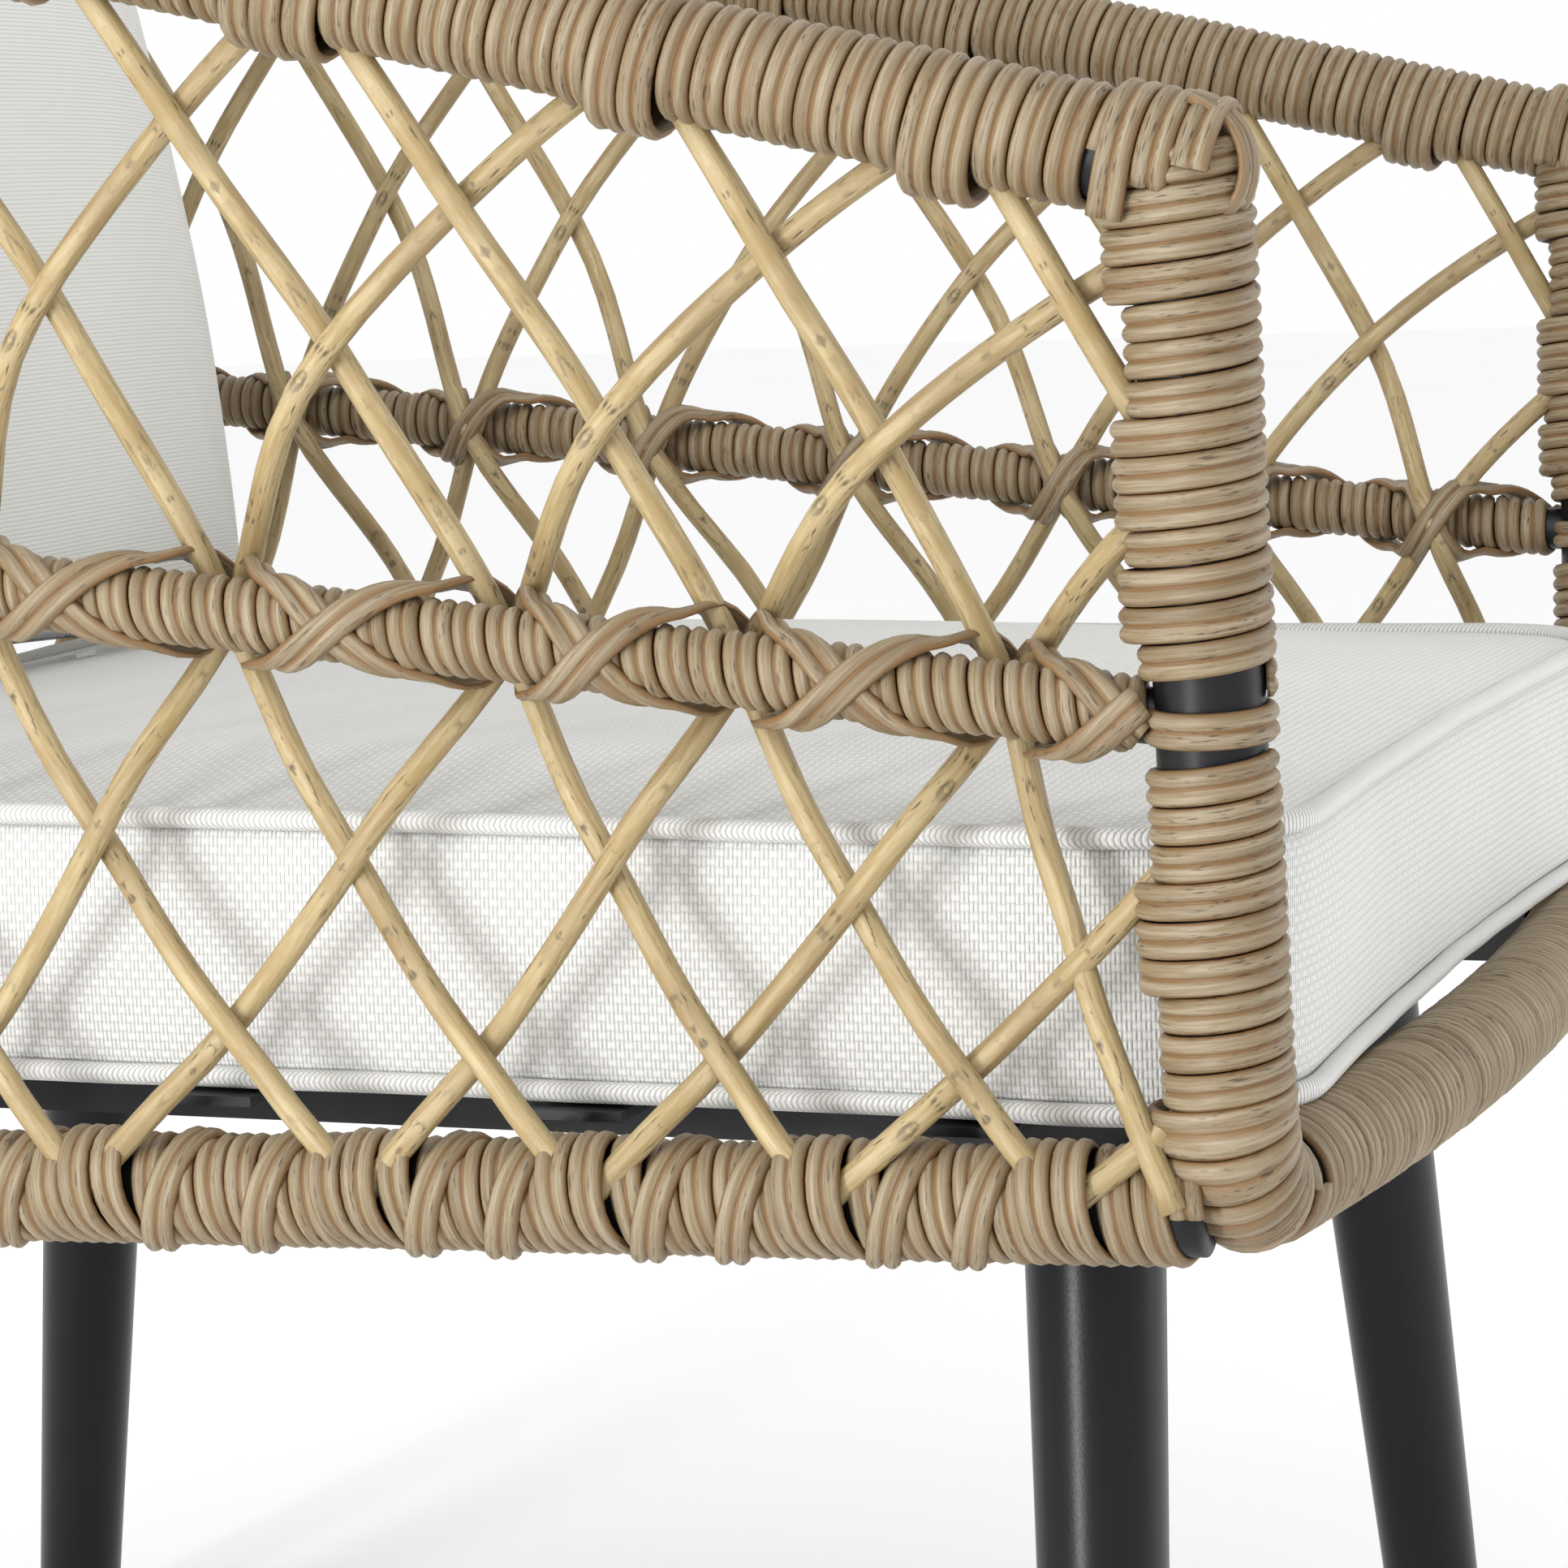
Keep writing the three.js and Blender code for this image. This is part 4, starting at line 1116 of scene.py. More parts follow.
class Corner:
    """The woven end where a front post meets the top rail: straps over the end, tucked into the post."""

    radius = 0.0178
    width = 0.0104
    thick = 0.0028
    end_out = 0.0055
    end_reach = 0.0185

    def __init__(self, skeleton: Skeleton, finishes: Finishes) -> None:
        """Takes the lines and the finishes."""
        self.skeleton, self.finishes = skeleton, finishes

    def _core(self, bm: bmesh.types.BMesh, side: Side) -> None:
        """A rounded end that closes the rail and the post under the straps."""
        line = self.skeleton.top.line
        s = 0.0 if side is Side.LEFT else line.length
        point, way, _, _ = line.frame(s)
        made = bmesh.ops.create_uvsphere(bm, u_segments=24, v_segments=14, radius=self.radius * 0.97)
        centre = point + way * (0.001 if side is Side.LEFT else -0.001)
        bmesh.ops.translate(bm, verts=made["verts"], vec=centre)

    def _strap(self, bm: bmesh.types.BMesh, points: Sequence[Vector], normals: Sequence[Vector]) -> None:
        """Lays a strip along points, with its ridges facing the normals."""
        def facing(p: Vector, _way: Vector) -> Vector:
            """The normal at the nearest point."""
            return normals[min(range(len(points)), key=lambda i: (points[i] - p).length)]

        line = Line(points, facing)

        def place(u: float, across: float, up: float) -> Vector:
            """Bends the straight strip along the line."""
            point, _, out, third = line.frame(u)
            return point + out * up - third * across

        steps = max(int(line.length / 0.003), 6)
        add_stock(bm, Section.strip(self.width, self.thick), line.length, steps, place)

    def _over(self, bm: bmesh.types.BMesh, side: Side, s: float, drop: float) -> None:
        """One strap from inside the rail, over its top and straight down its outer face."""
        line = self.skeleton.top.line
        at = s if side is Side.LEFT else line.length - s
        centre, _, out, third = line.frame(at)
        up = third if third.z > 0 else -third
        points, normals = [], []
        steps = 14
        for i in range(steps + 1):
            angle = math.radians(215) * (1 - i / steps)
            normal = out * math.cos(angle) + up * math.sin(angle)
            points.append(centre + normal * self.radius)
            normals.append(normal)
        down = -up
        for i in range(1, 6):
            points.append(points[steps] + down * drop * i / 5 - out * (0.0026 * smooth(i / 5 - 0.2)))
            normals.append(out)
        self._strap(bm, points, normals)

    def _end(self, bm: bmesh.types.BMesh, side: Side) -> None:
        """The strap that folds over the rail's front end and down the post."""
        line = self.skeleton.top.line
        at = 0.0 if side is Side.LEFT else line.length
        centre, way, out, third = line.frame(at)
        up = third if third.z > 0 else -third
        front = -way if side is Side.LEFT else way
        points, normals = [], []
        steps = 12
        for i in range(steps + 1):
            angle = math.radians(150) * i / steps
            normal = front * math.sin(angle) + up * math.cos(angle)
            points.append(centre + out * self.end_out + front * math.sin(angle) * self.end_reach
                          + up * (math.cos(angle) * self.radius))
            normals.append((normal + out * 0.18).normalized())
        self._strap(bm, points, normals)

    def build(self) -> None:
        """Makes both corners."""
        for side in Side:
            bm = bmesh.new()
            self._core(bm, side)
            for s, drop in ((0.0150, 0.017), (0.0045, 0.006), (-0.0058, -0.001)):
                self._over(bm, side, s, drop)
            self._end(bm, side)
            piece = make_piece(f"corner_wicker_{side.label}", "frame", bm, self.finishes.strip, "wicker")
            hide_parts(f"corner_weave_{side.label}")


# ---- lattice ------------------------------------------------------------------------------
class Lattice:
    """Round strands that are woven over and under each other between the rails."""

    radius = 0.0040
    crossing = 0.0041
    sides = 12
    top_arch = 0.38
    low_arch = 0.34
    tuck = 0.013
    reach = 0.985

    def __init__(self, skeleton: Skeleton, finishes: Finishes) -> None:
        """Takes the lines and the finishes."""
        self.skeleton, self.finishes = skeleton, finishes
        self.inside = 0.011 + self.radius + self.crossing + 0.0008

    def _upper_out(self, v: float, forwards: bool) -> float:
        """How far outside its plane a strand is between the top and the middle rail."""
        sign = 1 if forwards else -1
        layer = self.crossing * sign
        return eased(((0.0, -0.001), (0.31, layer), (0.61, -layer), (1.0, -self.inside + layer * 0.98)), v)

    def _lower_out(self, v: float, forwards: bool) -> float:
        """The same between the middle and the seat rail."""
        sign = 1 if forwards else -1
        layer = self.crossing * sign
        knots = ((0.0, -self.inside + layer * 0.98), (0.34, -layer), (0.74, layer + 0.004), (0.90, 0.0130),
                 (1.0, 0.0160))
        return eased(knots, v)

    def points(self, k: int, forwards: bool) -> list[Vector]:
        """The strand that starts at tie k of the top rail.

        Args:
            k: The tie's number.
            forwards: Whether it runs towards the left front post as it goes down.

        Returns:
            Its points from the top rail to the seat rail.
        """
        bones = self.skeleton
        top = bones.top.tie(k)
        middle = bones.middle.tie(k - 1 if forwards else k + 2)
        low = bones.seat.tie(k - 2 if forwards else k + 4, self.tuck)
        points = []
        steps = 14

        def push(upper: Rail, lower: Rail, w: float, v: float, out: float) -> None:
            """Adds one point."""
            high, down = upper.line.at(w * upper.length), lower.line.at(w * lower.length)
            _, _, side, _ = lower.line.frame(min(max(w, 0.0), 1.0) * lower.length)
            level = Vector((side.x, side.y, 0)).normalized()
            points.append(high.lerp(down, v) + level * out)

        for i in range(steps):
            v = i / steps
            arched = (1 - self.top_arch) * v + self.top_arch * (1 - (1 - v) ** 2)
            push(bones.top, bones.middle, top + (middle - top) * arched, v, self._upper_out(v, forwards))
        for i in range(steps + 1):
            v = i / steps
            arched = (1 - self.low_arch) * v + self.low_arch * v ** 2
            out = self._lower_out(v, forwards)
            push(bones.middle, bones.seat, middle + (low - middle) * arched, v * self.reach, out)
        return points

    def _kept(self, points: list[Vector], panel: str) -> list[Vector]:
        """The run of a strand's points that lies in a panel."""
        bones = self.skeleton
        corner = PATTERN.rear_radius * (1 - math.sin(math.pi / 4))

        def inside(point: Vector) -> bool:
            """Whether a point lies in the panel."""
            back = PATTERN.seat_depth + (point.z - PATTERN.rail_height) * slope(PATTERN.recline) + bones.shift
            post = bones.shift + PATTERN.post_y(point.z)
            if panel == "back":
                limit = PATTERN.arm_x(point.z) - corner
                return abs(point.x) < limit and point.y > back - 0.04
            side = Side.LEFT if panel == "left" else Side.RIGHT
            return point.x * side.value > 0 and post + 0.002 < point.y < back - corner

        flags = [inside(p) for p in points]
        if not any(flags):
            return []
        first, last = flags.index(True), len(flags) - 1 - flags[::-1].index(True)
        return points[max(first - 1, 0):last + 2]

    def build(self) -> None:
        """Makes the three panels."""
        for panel in ("left", "right", "back"):
            bm = bmesh.new()
            for k in range(-6, self.skeleton.top.ties + 6):
                for forwards in (True, False):
                    points = self._kept(self.points(k, forwards), panel)
                    if len(points) > 3:
                        self._strand(bm, points, k + 0.37 * forwards)
            piece = make_piece(f"lattice_strands_{panel}", "frame", bm, self.finishes.strand, "wicker")
            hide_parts("lattice_back" if panel == "back" else f"lattice_side_{panel}")

    def _strand(self, bm: bmesh.types.BMesh, points: Sequence[Vector], seed: float) -> None:
        """Bends one round strand along its points."""
        line = Line(points, lambda _p, way: way.cross(UP).normalized())
        steps = max(len(points) * 2, 8)

        def place(u: float, across: float, up: float) -> Vector:
            """Bends the straight strand along its line."""
            point, _, out, third = line.frame(u)
            return point + out * across + third * up

        add_stock(bm, Section.ring(self.radius, self.sides), line.length, steps, place)


# ---- legs and deck ------------------------------------------------------------------------
class Legs:
    """Four splayed round legs that taper to rubber glides."""

    top_radius = 0.0223
    foot_radius = 0.0170
    glide_height = 0.008

    def __init__(self, finishes: Finishes) -> None:
        """Takes the finishes."""
        self.finishes = finishes

    def _leg(self, place: str, side: Side) -> None:
        """One leg and its glide, between the plate's underside and the floor."""
        plate_low, plate_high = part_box(f"{place}_leg_plate_{side.label}")
        foot_low, foot_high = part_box(f"{place}_foot_glide_{side.label}")
        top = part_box(f"{place}_leg_{side.label}")[1][2]
        foot = Vector(((foot_low[0] + foot_high[0]) / 2, (foot_low[1] + foot_high[1]) / 2, 0))
        head = Vector(((plate_low[0] + plate_high[0]) / 2, (plate_low[1] + plate_high[1]) / 2, top))
        way = (head - foot).normalized()
        reach = (head - foot).length
        turn = way.to_track_quat("Z", "Y").to_matrix().to_4x4()
        matrix = Matrix.Translation(foot) @ turn

        bm = bmesh.new()
        over = 0.03
        taper = (self.top_radius - self.foot_radius) / reach
        low_radius = self.foot_radius + taper * self.glide_height
        bmesh.ops.create_cone(bm, cap_ends=True, segments=72, radius1=low_radius,
                              radius2=self.top_radius + taper * over,
                              depth=reach + over - self.glide_height)
        bmesh.ops.translate(bm, verts=bm.verts, vec=(0, 0, (reach + over + self.glide_height) / 2))
        bm.transform(matrix)
        geom = [*bm.verts, *bm.edges, *bm.faces]
        bmesh.ops.bisect_plane(bm, geom=geom, plane_co=(0, 0, top), plane_no=UP, clear_outer=True)
        rim = [edge for edge in bm.edges if edge.is_boundary]
        bmesh.ops.holes_fill(bm, edges=rim)
        bmesh.ops.recalc_face_normals(bm, faces=bm.faces)
        piece = make_piece(f"{place}_leg_{side.label}_tube", "frame", bm, self.finishes.leg, "leg_paint")
        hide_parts(f"{place}_leg_{side.label}")
        self._flatten_ends(piece)

        bm = bmesh.new()
        rim_radius = self.foot_radius + 0.0008
        bore = self.foot_radius - 0.003
        profile = [(0.0, 0.022), (bore - 0.001, 0.022), (bore, 0.019),
                   (bore, self.glide_height - 0.0003), (rim_radius - 0.0006, self.glide_height),
                   (rim_radius, self.glide_height - 0.0010), (rim_radius, -0.010), (0.0, -0.010)]
        verts = [bm.verts.new((r, 0, z)) for r, z in profile]
        edges = [bm.edges.new(pair) for pair in zip(verts, verts[1:])]
        bmesh.ops.spin(bm, geom=verts + edges, cent=(0, 0, 0), axis=UP, angle=TAU, steps=64,
                       use_merge=True)
        bmesh.ops.remove_doubles(bm, verts=bm.verts, dist=1e-6)
        bm.transform(matrix)
        geom = [*bm.verts, *bm.edges, *bm.faces]
        bmesh.ops.bisect_plane(bm, geom=geom, plane_co=(0, 0, 0), plane_no=-UP, clear_outer=True)
        bmesh.ops.holes_fill(bm, edges=[edge for edge in bm.edges if edge.is_boundary])
        bmesh.ops.recalc_face_normals(bm, faces=bm.faces)
        glide = make_piece(f"{place}_glide_{side.label}", "frame", bm, self.finishes.rubber, "foot_rubber")
        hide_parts(f"{place}_foot_glide_{side.label}")
        self._flatten_ends(glide)

    @staticmethod
    def _flatten_ends(piece: bpy.types.Object) -> None:
        """Keeps flat ends crisp beside a smooth side."""
        piece.data.set_sharp_from_angle(angle=math.radians(40))

    def build(self) -> None:
        """Makes the four legs."""
        for place in ("front", "rear"):
            for side in Side:
                self._leg(place, side)


class Deck:
    """The bearers, slats and leg plates under the seat cushion."""

    def __init__(self, nodes: dict[str, bpy.types.Object], finishes: Finishes) -> None:
        """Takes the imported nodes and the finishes."""
        self.nodes, self.finishes = nodes, finishes

    def build(self) -> None:
        """Coats every node of the deck."""
        for name, node in self.nodes.items():
            if name.startswith(("seat_bearer", "seat_slat")) or "leg_plate" in name:
                self._coat(node)

    def _coat(self, node: bpy.types.Object) -> None:
        """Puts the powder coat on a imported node."""
        for slot in node.material_slots:
            slot.material = self.finishes.steel


# ---- cushions -----------------------------------------------------------------------------
class Simulation:
    """Inflates a sewn shell with Blender's cloth and keeps the result."""

    frames = 20

    def __init__(self, pressure: float, cap: float, stiffness: float = 12.0) -> None:
        """Takes the pressure, the furthest that a point may move, and the cloth's stiffness."""
        self.pressure, self.cap, self.stiffness = pressure, cap, stiffness

    def run(self, bm: bmesh.types.BMesh, pinned: Callable[[Vector], float]) -> None:
        """Inflates a mesh in place.

        Args:
            bm: The shell.
            pinned: How firmly a point is held, from 0 to 1.
        """
        rest = [vert.co.copy() for vert in bm.verts]
        mesh = bpy.data.meshes.new("inflating")
        bm.to_mesh(mesh)
        shell = bpy.data.objects.new("inflating", mesh)
        bpy.context.scene.collection.objects.link(shell)
        group = shell.vertex_groups.new(name="held")
        for i, point in enumerate(rest):
            hold = pinned(point)
            if hold > 0:
                group.add([i], hold, "REPLACE")
        cloth = shell.modifiers.new("cloth", "CLOTH")
        settings = cloth.settings
        settings.quality = 6
        settings.vertex_group_mass = "held"
        settings.use_pressure = True
        settings.uniform_pressure_force = self.pressure
        settings.tension_stiffness = self.stiffness
        settings.compression_stiffness = self.stiffness
        settings.shear_stiffness = self.stiffness * 0.5
        settings.bending_stiffness = 0.4
        settings.effector_weights.gravity = 0
        cloth.collision_settings.use_collision = False
        scene = bpy.context.scene
        for frame in range(1, self.frames + 1):
            scene.frame_set(frame)
        graph = bpy.context.evaluated_depsgraph_get()
        settled = shell.evaluated_get(graph).to_mesh()
        for vert, start, end in zip(bm.verts, rest, settled.vertices):
            move = end.co - start
            if move.length > self.cap:
                move = move * (self.cap / move.length)
            vert.co = start + move
        shell.evaluated_get(graph).to_mesh_clear()
        bpy.data.objects.remove(shell)
        bpy.data.meshes.remove(mesh)
        scene.frame_set(1)


class Zipper:
    """A closed zip sewn onto a cushion: a tape with a row of coil teeth along its middle."""

    width = 0.020
    teeth_width = 0.0052
    tooth = 0.0026

    def __init__(self, name: str, body: str, slot: str, finishes: Finishes) -> None:
        """Takes the cushion's name, body and material slot."""
        self.name, self.body, self.slot, self.finishes = name, body, slot, finishes

    def sew(self, cushion: bmesh.types.BMesh, middle: Vector, inwards: Vector, length: float) -> None:
        """Lays the zip on a cushion's surface.

        Args:
            cushion: The cushion's mesh, in place.
            middle: The middle of the zip, outside the cushion.
            inwards: The direction from there towards the cushion.
            length: Its length, along x.
        """
        tree = BVHTree.FromBMesh(cushion)
        side = inwards.cross(Vector((1, 0, 0))).normalized()

        def ground(x: float, across: float) -> Vector:
            """The cushion's surface under a point of the tape."""
            start = middle + Vector((x, 0, 0)) + side * across - inwards * 0.05
            hit, *_ = tree.ray_cast(start, inwards)
            return hit if hit else start + inwards * 0.05

        def tape(u: float, across: float, up: float) -> Vector:
            """A flat tape."""
            return ground(u - length / 2, across) - inwards * (up + 0.0003)

        def teeth(u: float, across: float, up: float) -> Vector:
            """Teeth that stand up from the tape one by one."""
            tall = 1.0 if (u / self.tooth) % 1 < 0.55 else 0.35
            return ground(u - length / 2, across) - inwards * (up * tall + 0.0009)

        cloth, metal = self.finishes.tape, self.finishes.metal
        layers = (("tape", Section.strip(self.width, 0.0008), tape, 60, cloth, self.slot),
                  ("teeth", Section.strip(self.teeth_width, 0.0015), teeth, 480, metal, "zip_metal"))
        for kind, section, shape, steps, material, slot in layers:
            bm = bmesh.new()
            add_stock(bm, section, length, steps, shape)
            make_piece(f"{self.name}_zip_{kind}", self.body, bm, material, slot)


class SeatCushion:
    """A boxed cushion: crowned panels, a boxing that swells between two piped welts, and a zip behind."""

    columns = 56
    rows = 62
    layers = 8
    side_pull = 0.006
    front_pull = 0.008
    welt = 0.0034
    corner = 0.058

    def __init__(self, finishes: Finishes) -> None:
        """Takes the cushion's box from the frame."""
        self.finishes = finishes
        low, high = (Vector(corner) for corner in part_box("seat_cushion_cover"))
        self.middle = (low + high) / 2
        self.half_width = (high.x - low.x) / 2
        self.half_depth = (high.y - low.y) / 2
        bottom_low, bottom_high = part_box("seat_welt_bottom")
        top_low, top_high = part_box("seat_welt_top")
        self.low = (bottom_low[2] + bottom_high[2]) / 2
        self.high = (top_low[2] + top_high[2]) / 2
        self.outline = self._seam()

    def _seam(self) -> Line:
        """The seam's outline in plan, closed; its sides pull in a little between the corners."""
        w, d, r = self.half_width, self.half_depth, self.corner
        points = []
        for sx, sy, turn in ((1, 1, 0), (-1, 1, 1), (-1, -1, 2), (1, -1, 3)):
            for i in range(13):
                angle = (turn + i / 12) * math.pi / 2
                x, y = sx * (w - r) + r * math.cos(angle), sy * (d - r) + r * math.sin(angle)
                points.append(Vector((x, y, 0)))
        dense = []
        closed = [*points, points[0]]
        for a, b in zip(closed, closed[1:]):
            steps = max(int((b - a).length / 0.010), 1)
            dense.extend(a.lerp(b, i / steps) for i in range(steps))
        pulled = [self._pull(p) for p in dense]
        return Line([*pulled, pulled[0].copy()], lambda p, _w: p.normalized())

    def _pull(self, p: Vector) -> Vector:
        """Draws a point of the plan in towards the middle, most at the middle of each side."""
        across, along = p.x / self.half_width, p.y / self.half_depth
        x = p.x - math.copysign(self.side_pull, p.x) * max(1 - along * along, 0) ** 1.2 * abs(across) ** 3
        y = p.y - math.copysign(self.front_pull, p.y) * max(1 - across * across, 0) ** 1.2 * abs(along) ** 3
        return Vector((x, y, p.z))

    def _plan(self, u: float, v: float) -> Vector:
        """Maps the square from -1 to 1 onto the rounded plan."""
        w, d, r = self.half_width, self.half_depth, self.corner
        x, y = u * w, v * d
        dx, dy = max(abs(x) - (w - r), 0) / r, max(abs(y) - (d - r), 0) / r
        if dx > 0 and dy > 0:
            size = math.hypot(dx, dy)
            share = max(dx, dy) / size
            x = math.copysign(w - r + dx * share * r, x)
            y = math.copysign(d - r + dy * share * r, y)
        return self._pull(Vector((x, y, 0)))

    def _shell(self) -> bmesh.types.BMesh:
        """The cushion's shell: two panels and the boxing between them, with the weave's map."""
        bm = bmesh.new()
        uv = bm.loops.layers.uv.verify()
        sheet = bmesh.ops.create_grid(bm, x_segments=self.columns, y_segments=self.rows, size=1)
        for vert in sheet["verts"]:
            vert.co = self._plan(vert.co.x, vert.co.y) + Vector((0, 0, self.high))
        rim = [edge for edge in bm.edges if edge.is_boundary]
        loop_verts = {vert for edge in rim for vert in edge.verts}
        step = (self.low - self.high) / self.layers
        bmesh.ops.spin(bm, geom=[*loop_verts, *rim], cent=(0, 0, 0), axis=UP, dvec=(0, 0, step), angle=0,
                       steps=self.layers, use_duplicate=False)
        sheet = bmesh.ops.create_grid(bm, x_segments=self.columns, y_segments=self.rows, size=1)
        for vert in sheet["verts"]:
            vert.co = self._plan(vert.co.x, vert.co.y) + Vector((0, 0, self.low))
        bmesh.ops.remove_doubles(bm, verts=bm.verts, dist=1e-5)
        bmesh.ops.recalc_face_normals(bm, faces=bm.faces)
        outline = self.outline
        for face in bm.faces:
            flat = abs(face.normal.z) > 0.5
            base = None
            for loop in face.loops:
                co = loop.vert.co
                if flat:
                    loop[uv].uv = (co.x, co.y)
                    continue
                along = self._around(co)
                if base is None:
                    base = along
                if along - base > outline.length / 2:
                    along -= outline.length
                if base - along > outline.length / 2:
                    along += outline.length
                loop[uv].uv = (along, co.z)
        return bm

    def _around(self, co: Vector) -> float:
        """How far round the outline a point of the boxing lies."""
        outline = self.outline
        flat = Vector((co.x, co.y, 0))
        best = min(range(len(outline.points)), key=lambda i: (outline.points[i] - flat).length_squared)
        return outline.reach[best] + (flat - outline.points[best]).dot(outline.ways[best])

    def _held(self, point: Vector) -> float:
        """Only the seams are held."""
        level = min(abs(point.z - self.high), abs(point.z - self.low)) < 1e-5
        return 1.0 if level and self._on_rim(point) else 0.0

    def _on_rim(self, point: Vector) -> bool:
        """Whether a point lies on a seam."""
        flat = Vector((point.x, point.y, 0))
        outline = self.outline
        return min((p - flat).length_squared for p in outline.points) < 0.0075 ** 2

    def build(self) -> None:
        """Makes the cushion, its two welts and its zip."""
        bm = self._shell()
        Simulation(pressure=5.0, cap=0.013).run(bm, self._held)
        for vert in bm.verts:
            self._settle(vert)
            vert.co += Vector((self.middle.x, self.middle.y, 0))
        low, high = (Vector(corner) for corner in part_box("seat_zip_pull"))
        zipper = Zipper("seat", "seat_cushion", "seat_cloth", self.finishes)
        zipper.sew(bm, Vector((0, high.y, (low.z + high.z) / 2)), FORWARD, 0.318)
        cushion = make_piece("seat_cushion", "seat_cushion", bm, self.finishes.seat, "seat_cloth")
        cushion.modifiers.new("soften", "SUBSURF").levels = 1
        cushion.modifiers["soften"].render_levels = 1
        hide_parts("seat_cushion_cover", "seat_cushion_foam")
        for name, z in (("bottom", self.low), ("top", self.high)):
            self._piping(name, z)

    def _settle(self, vert: bmesh.types.BMVert) -> None:
        """Gives the panels their crown and keeps the underside flat on the slats."""
        floor = self.low - 0.0022
        x, y = vert.co.x / self.half_width, vert.co.y / self.half_depth
        if vert.co.z < floor:
            vert.co.z = floor - (floor - vert.co.z) * 0.05
        ripple = wobble(vert.co.x * 14, 2) * wobble(vert.co.y * 11, 3)
        height = (vert.co.z - self.low) / (self.high - self.low)
        if 0.02 < height < 0.98 and max(abs(x), abs(y)) > 0.9:
            out = Vector((vert.co.x, vert.co.y, 0)).normalized()
            vert.co += out * (0.0022 * wobble((vert.co.x + vert.co.y) * 12, 7) * math.sin(math.pi * height))
        middle = max(1 - x * x, 0) * max(1 - y * y, 0)
        if vert.co.z > self.high - 1e-4:
            vert.co.z += 0.0022 * ripple * min(middle * 6, 1)

    def _piping(self, name: str, z: float) -> None:
        """One piped welt round a seam."""
        outline = self.outline
        bm = bmesh.new()

        def place(u: float, across: float, up: float) -> Vector:
            """Bends the cord round the seam, a little uneven as sewn."""
            point, _, out, _ = outline.frame(u % outline.length if u < outline.length - 1e-6 else 0.0)
            rise = wobble(u * 22, 4 + z) * 0.0006
            centre = point + out * (0.0012 + wobble(u * 17, 9 + z) * 0.0005) + self.middle
            return Vector((centre.x, centre.y, z + rise)) + out * across + UP * up

        add_stock(bm, Section.ring(self.welt, 12), outline.length, 420, place, closed=True)
        piece = make_piece(f"seat_welt_{name}_piping", "seat_cushion", bm, self.finishes.welt, "seat_cloth")
        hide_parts(f"seat_welt_{name}")


class BackPillow:
    """A knife-edged pillow: two ribbed panels sewn together at the edge and blown out by their filling."""

    columns = 52
    rows = 44

    def __init__(self, finishes: Finishes) -> None:
        """Takes the pillow's box from the frame and sets its lean."""
        self.finishes = finishes
        self.lean = math.radians(12)
        low, high = (Vector(corner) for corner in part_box("pillow_cover"))
        self.middle = (low + high) / 2
        self.half_width = (high.x - low.x) / 2
        self.half_height = 0.200
        self.half_thick = 0.070

    def _form(self) -> bmesh.types.BMesh:
        """Two panels from one sheet each, joined at the seam; x across, z up, y through."""
        bm = bmesh.new()
        uv = bm.loops.layers.uv.verify()
        for face_side in (-1, 1):
            sheet = bmesh.ops.create_grid(bm, x_segments=self.columns, y_segments=self.rows, size=1)
            for vert in sheet["verts"]:
                u, v = vert.co.x, vert.co.y
                full = max(1 - abs(u) ** 2.6, 0) ** 0.55 * max(1 - abs(v) ** 2.6, 0) ** 0.55
                pull_x = 0.018 * (1 - v * v) * abs(u) ** 5
                pull_z = (0.014 if v > 0 else 0.002) * (1 - u * u) * abs(v) ** 5
                x = u * self.half_width - math.copysign(pull_x, u)
                z = v * self.half_height - math.copysign(pull_z, v)
                thick = self.half_thick * 0.86 * full
                vert.co = Vector((x, face_side * thick, z))
        bmesh.ops.remove_doubles(bm, verts=bm.verts, dist=1e-5)
        bmesh.ops.recalc_face_normals(bm, faces=bm.faces)
        for face in bm.faces:
            for loop in face.loops:
                loop[uv].uv = (loop.vert.co.x, loop.vert.co.z)
        return bm

    def _held(self, point: Vector) -> float:
        """Only the seam's corners are held."""
        corner = abs(point.x) > self.half_width * 0.96 and abs(point.z) > self.half_height * 0.95
        return 1.0 if corner else 0.0

    def build(self) -> None:
        """Makes the pillow."""
        bm = self._form()
        Simulation(pressure=6.0, cap=0.016, stiffness=8.0).run(bm, self._held)
        for vert in bm.verts:
            seam = max(abs(vert.co.x) / self.half_width, abs(vert.co.z) / self.half_height)
            fold = wobble(vert.co.x * 40 + vert.co.z * 25, 6) * smooth((seam - 0.72) / 0.25)
            vert.co.y += math.copysign(0.0020, vert.co.y or 1) * fold
        turn = Matrix.Rotation(-self.lean, 4, "X")
        bm.transform(Matrix.Translation(self.middle) @ turn)
        low, high = (Vector(corner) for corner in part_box("pillow_zip_pull"))
        zipper = Zipper("pillow", "pillow", "pillow_cloth", self.finishes)
        upwards = turn.to_3x3() @ UP
        zipper.sew(bm, Vector((0, (low.y + high.y) / 2, low.z)), upwards, 0.196)
        pillow = make_piece("back_pillow", "pillow", bm, self.finishes.pillow, "pillow_cloth")
        pillow.modifiers.new("soften", "SUBSURF").levels = 1
        pillow.modifiers["soften"].render_levels = 1
        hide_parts("pillow_cover", "pillow_filling")


class ZipPull:
    """A zip's slider with its tab."""

    def __init__(self, node: str, finishes: Finishes) -> None:
        """Takes the node that it dresses."""
        self.node, self.finishes = node, finishes

    def build(self, nodes: dict[str, bpy.types.Object]) -> None:
        """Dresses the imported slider."""
        for slot in nodes[self.node].material_slots:
            slot.material = self.finishes.metal


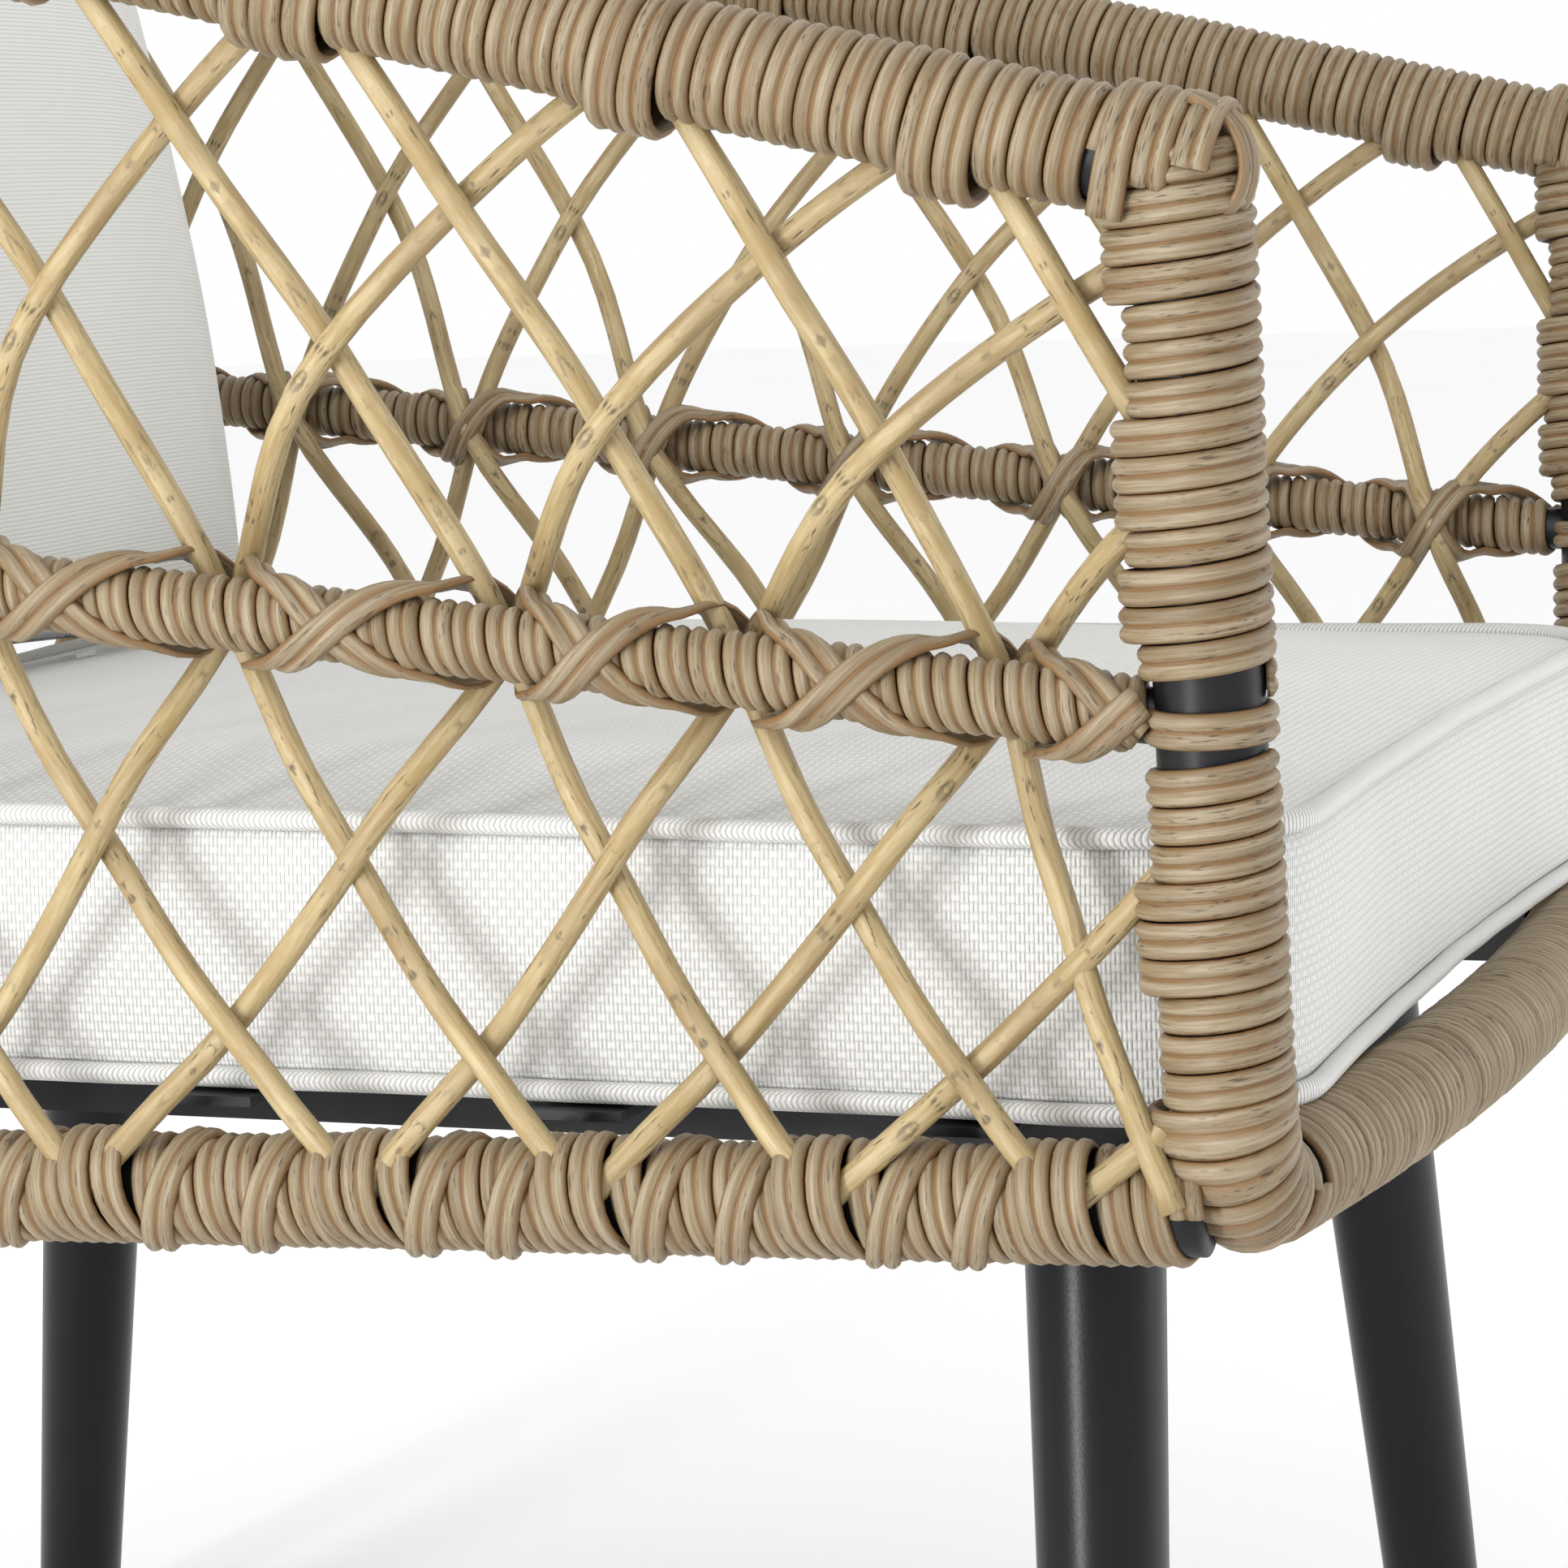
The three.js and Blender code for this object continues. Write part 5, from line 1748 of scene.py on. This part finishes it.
# ---- studio -------------------------------------------------------------------------------
class Studio:
    """The camera, a pale floor and soft lights."""

    def __init__(self, skeleton: Skeleton) -> None:
        """Takes the frame's place."""
        self.shift = skeleton.shift

    def camera(self) -> None:
        """Sets the camera close to the left front corner."""
        yaw, pitch, roll = math.radians(19.86), math.radians(-7.58), math.radians(1.778)
        level = Vector((math.cos(yaw), math.sin(yaw), 0))
        way = level * math.cos(pitch) + UP * math.sin(pitch)
        right = way.cross(UP).normalized()
        top = right.cross(way)
        turned_right = right * math.cos(roll) - top * math.sin(roll)
        turned_top = top * math.cos(roll) + right * math.sin(roll)
        data = bpy.data.cameras.new("camera")
        data.sensor_width = 36.0
        data.lens = 109.28
        data.clip_start = 0.02
        camera = bpy.data.objects.new("camera", data)
        bpy.context.scene.collection.objects.link(camera)
        matrix = Matrix((turned_right, turned_top, -way)).transposed().to_4x4()
        matrix.translation = Vector((-1.5661, -0.3281 + self.shift, 0.6413))
        camera.matrix_world = matrix
        bpy.context.scene.camera = camera

    def _light(self, name: str, place: Sequence[float], target: Sequence[float],
               size: tuple[float, float], power: float) -> None:
        """One soft box with a width and a height."""
        data = bpy.data.lights.new(name, "AREA")
        data.shape = "RECTANGLE"
        data.size, data.size_y = size
        data.energy = power
        light = bpy.data.objects.new(name, data)
        bpy.context.scene.collection.objects.link(light)
        light.location = place
        light.rotation_euler = (Vector(target) - Vector(place)).to_track_quat("-Z", "Y").to_euler()

    def light(self) -> None:
        """Hangs the lights and lays the floor."""
        world = bpy.data.worlds.new("studio")
        bpy.context.scene.world = world
        world.use_nodes = True
        background = world.node_tree.nodes["Background"]
        background.inputs["Color"].default_value = (1.0, 1.0, 1.0, 1.0)
        background.inputs["Strength"].default_value = 1.0
        middle = (0.0, -0.1, 0.45)
        self._light("key", (-1.7, 0.35, 1.9), middle, (1.3, 1.3), 18)
        self._light("strip", (-2.0, 0.44, 0.50), (-0.2, -0.28, 0.2), (0.10, 1.0), 22)
        self._light("front", (0.8, -2.1, 0.9), (-0.1, -0.2, 0.3), (0.5, 1.2), 12)
        bm = bmesh.new()
        bmesh.ops.create_circle(bm, cap_ends=True, segments=96, radius=14.0)
        mesh = bpy.data.meshes.new("floor")
        bm.to_mesh(mesh)
        bm.free()
        floor = bpy.data.objects.new("floor", mesh)
        bpy.context.scene.collection.objects.link(floor)
        recipe = Recipe("pale_floor")
        tone = recipe.noise(recipe.coordinates(uv=False), 3.0, 2.0)
        colour = recipe.mix(tone, (0.93, 0.93, 0.93, 1), (0.96, 0.96, 0.96, 1))
        floor.data.materials.append(recipe.finish(Base_Color=colour, Roughness=0.8))
        bpy.context.scene.view_settings.view_transform = "Standard"


def main() -> None:
    """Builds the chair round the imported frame."""
    logging.basicConfig(level=logging.INFO, format="%(message)s")
    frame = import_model()
    skeleton = Skeleton()
    studio = Studio(skeleton)
    studio.camera()
    studio.light()
    finishes = Finishes()
    Steel(skeleton, finishes).build()
    Deck(frame["nodes"], finishes).build()
    Legs(finishes).build()
    Wrapping(skeleton, finishes).build()
    Corner(skeleton, finishes).build()
    Lattice(skeleton, finishes).build()
    SeatCushion(finishes).build()
    BackPillow(finishes).build()
    ZipPull("seat_zip_pull", finishes).build(frame["nodes"])
    ZipPull("pillow_zip_pull", finishes).build(frame["nodes"])


if __name__ == "__main__":
    main()
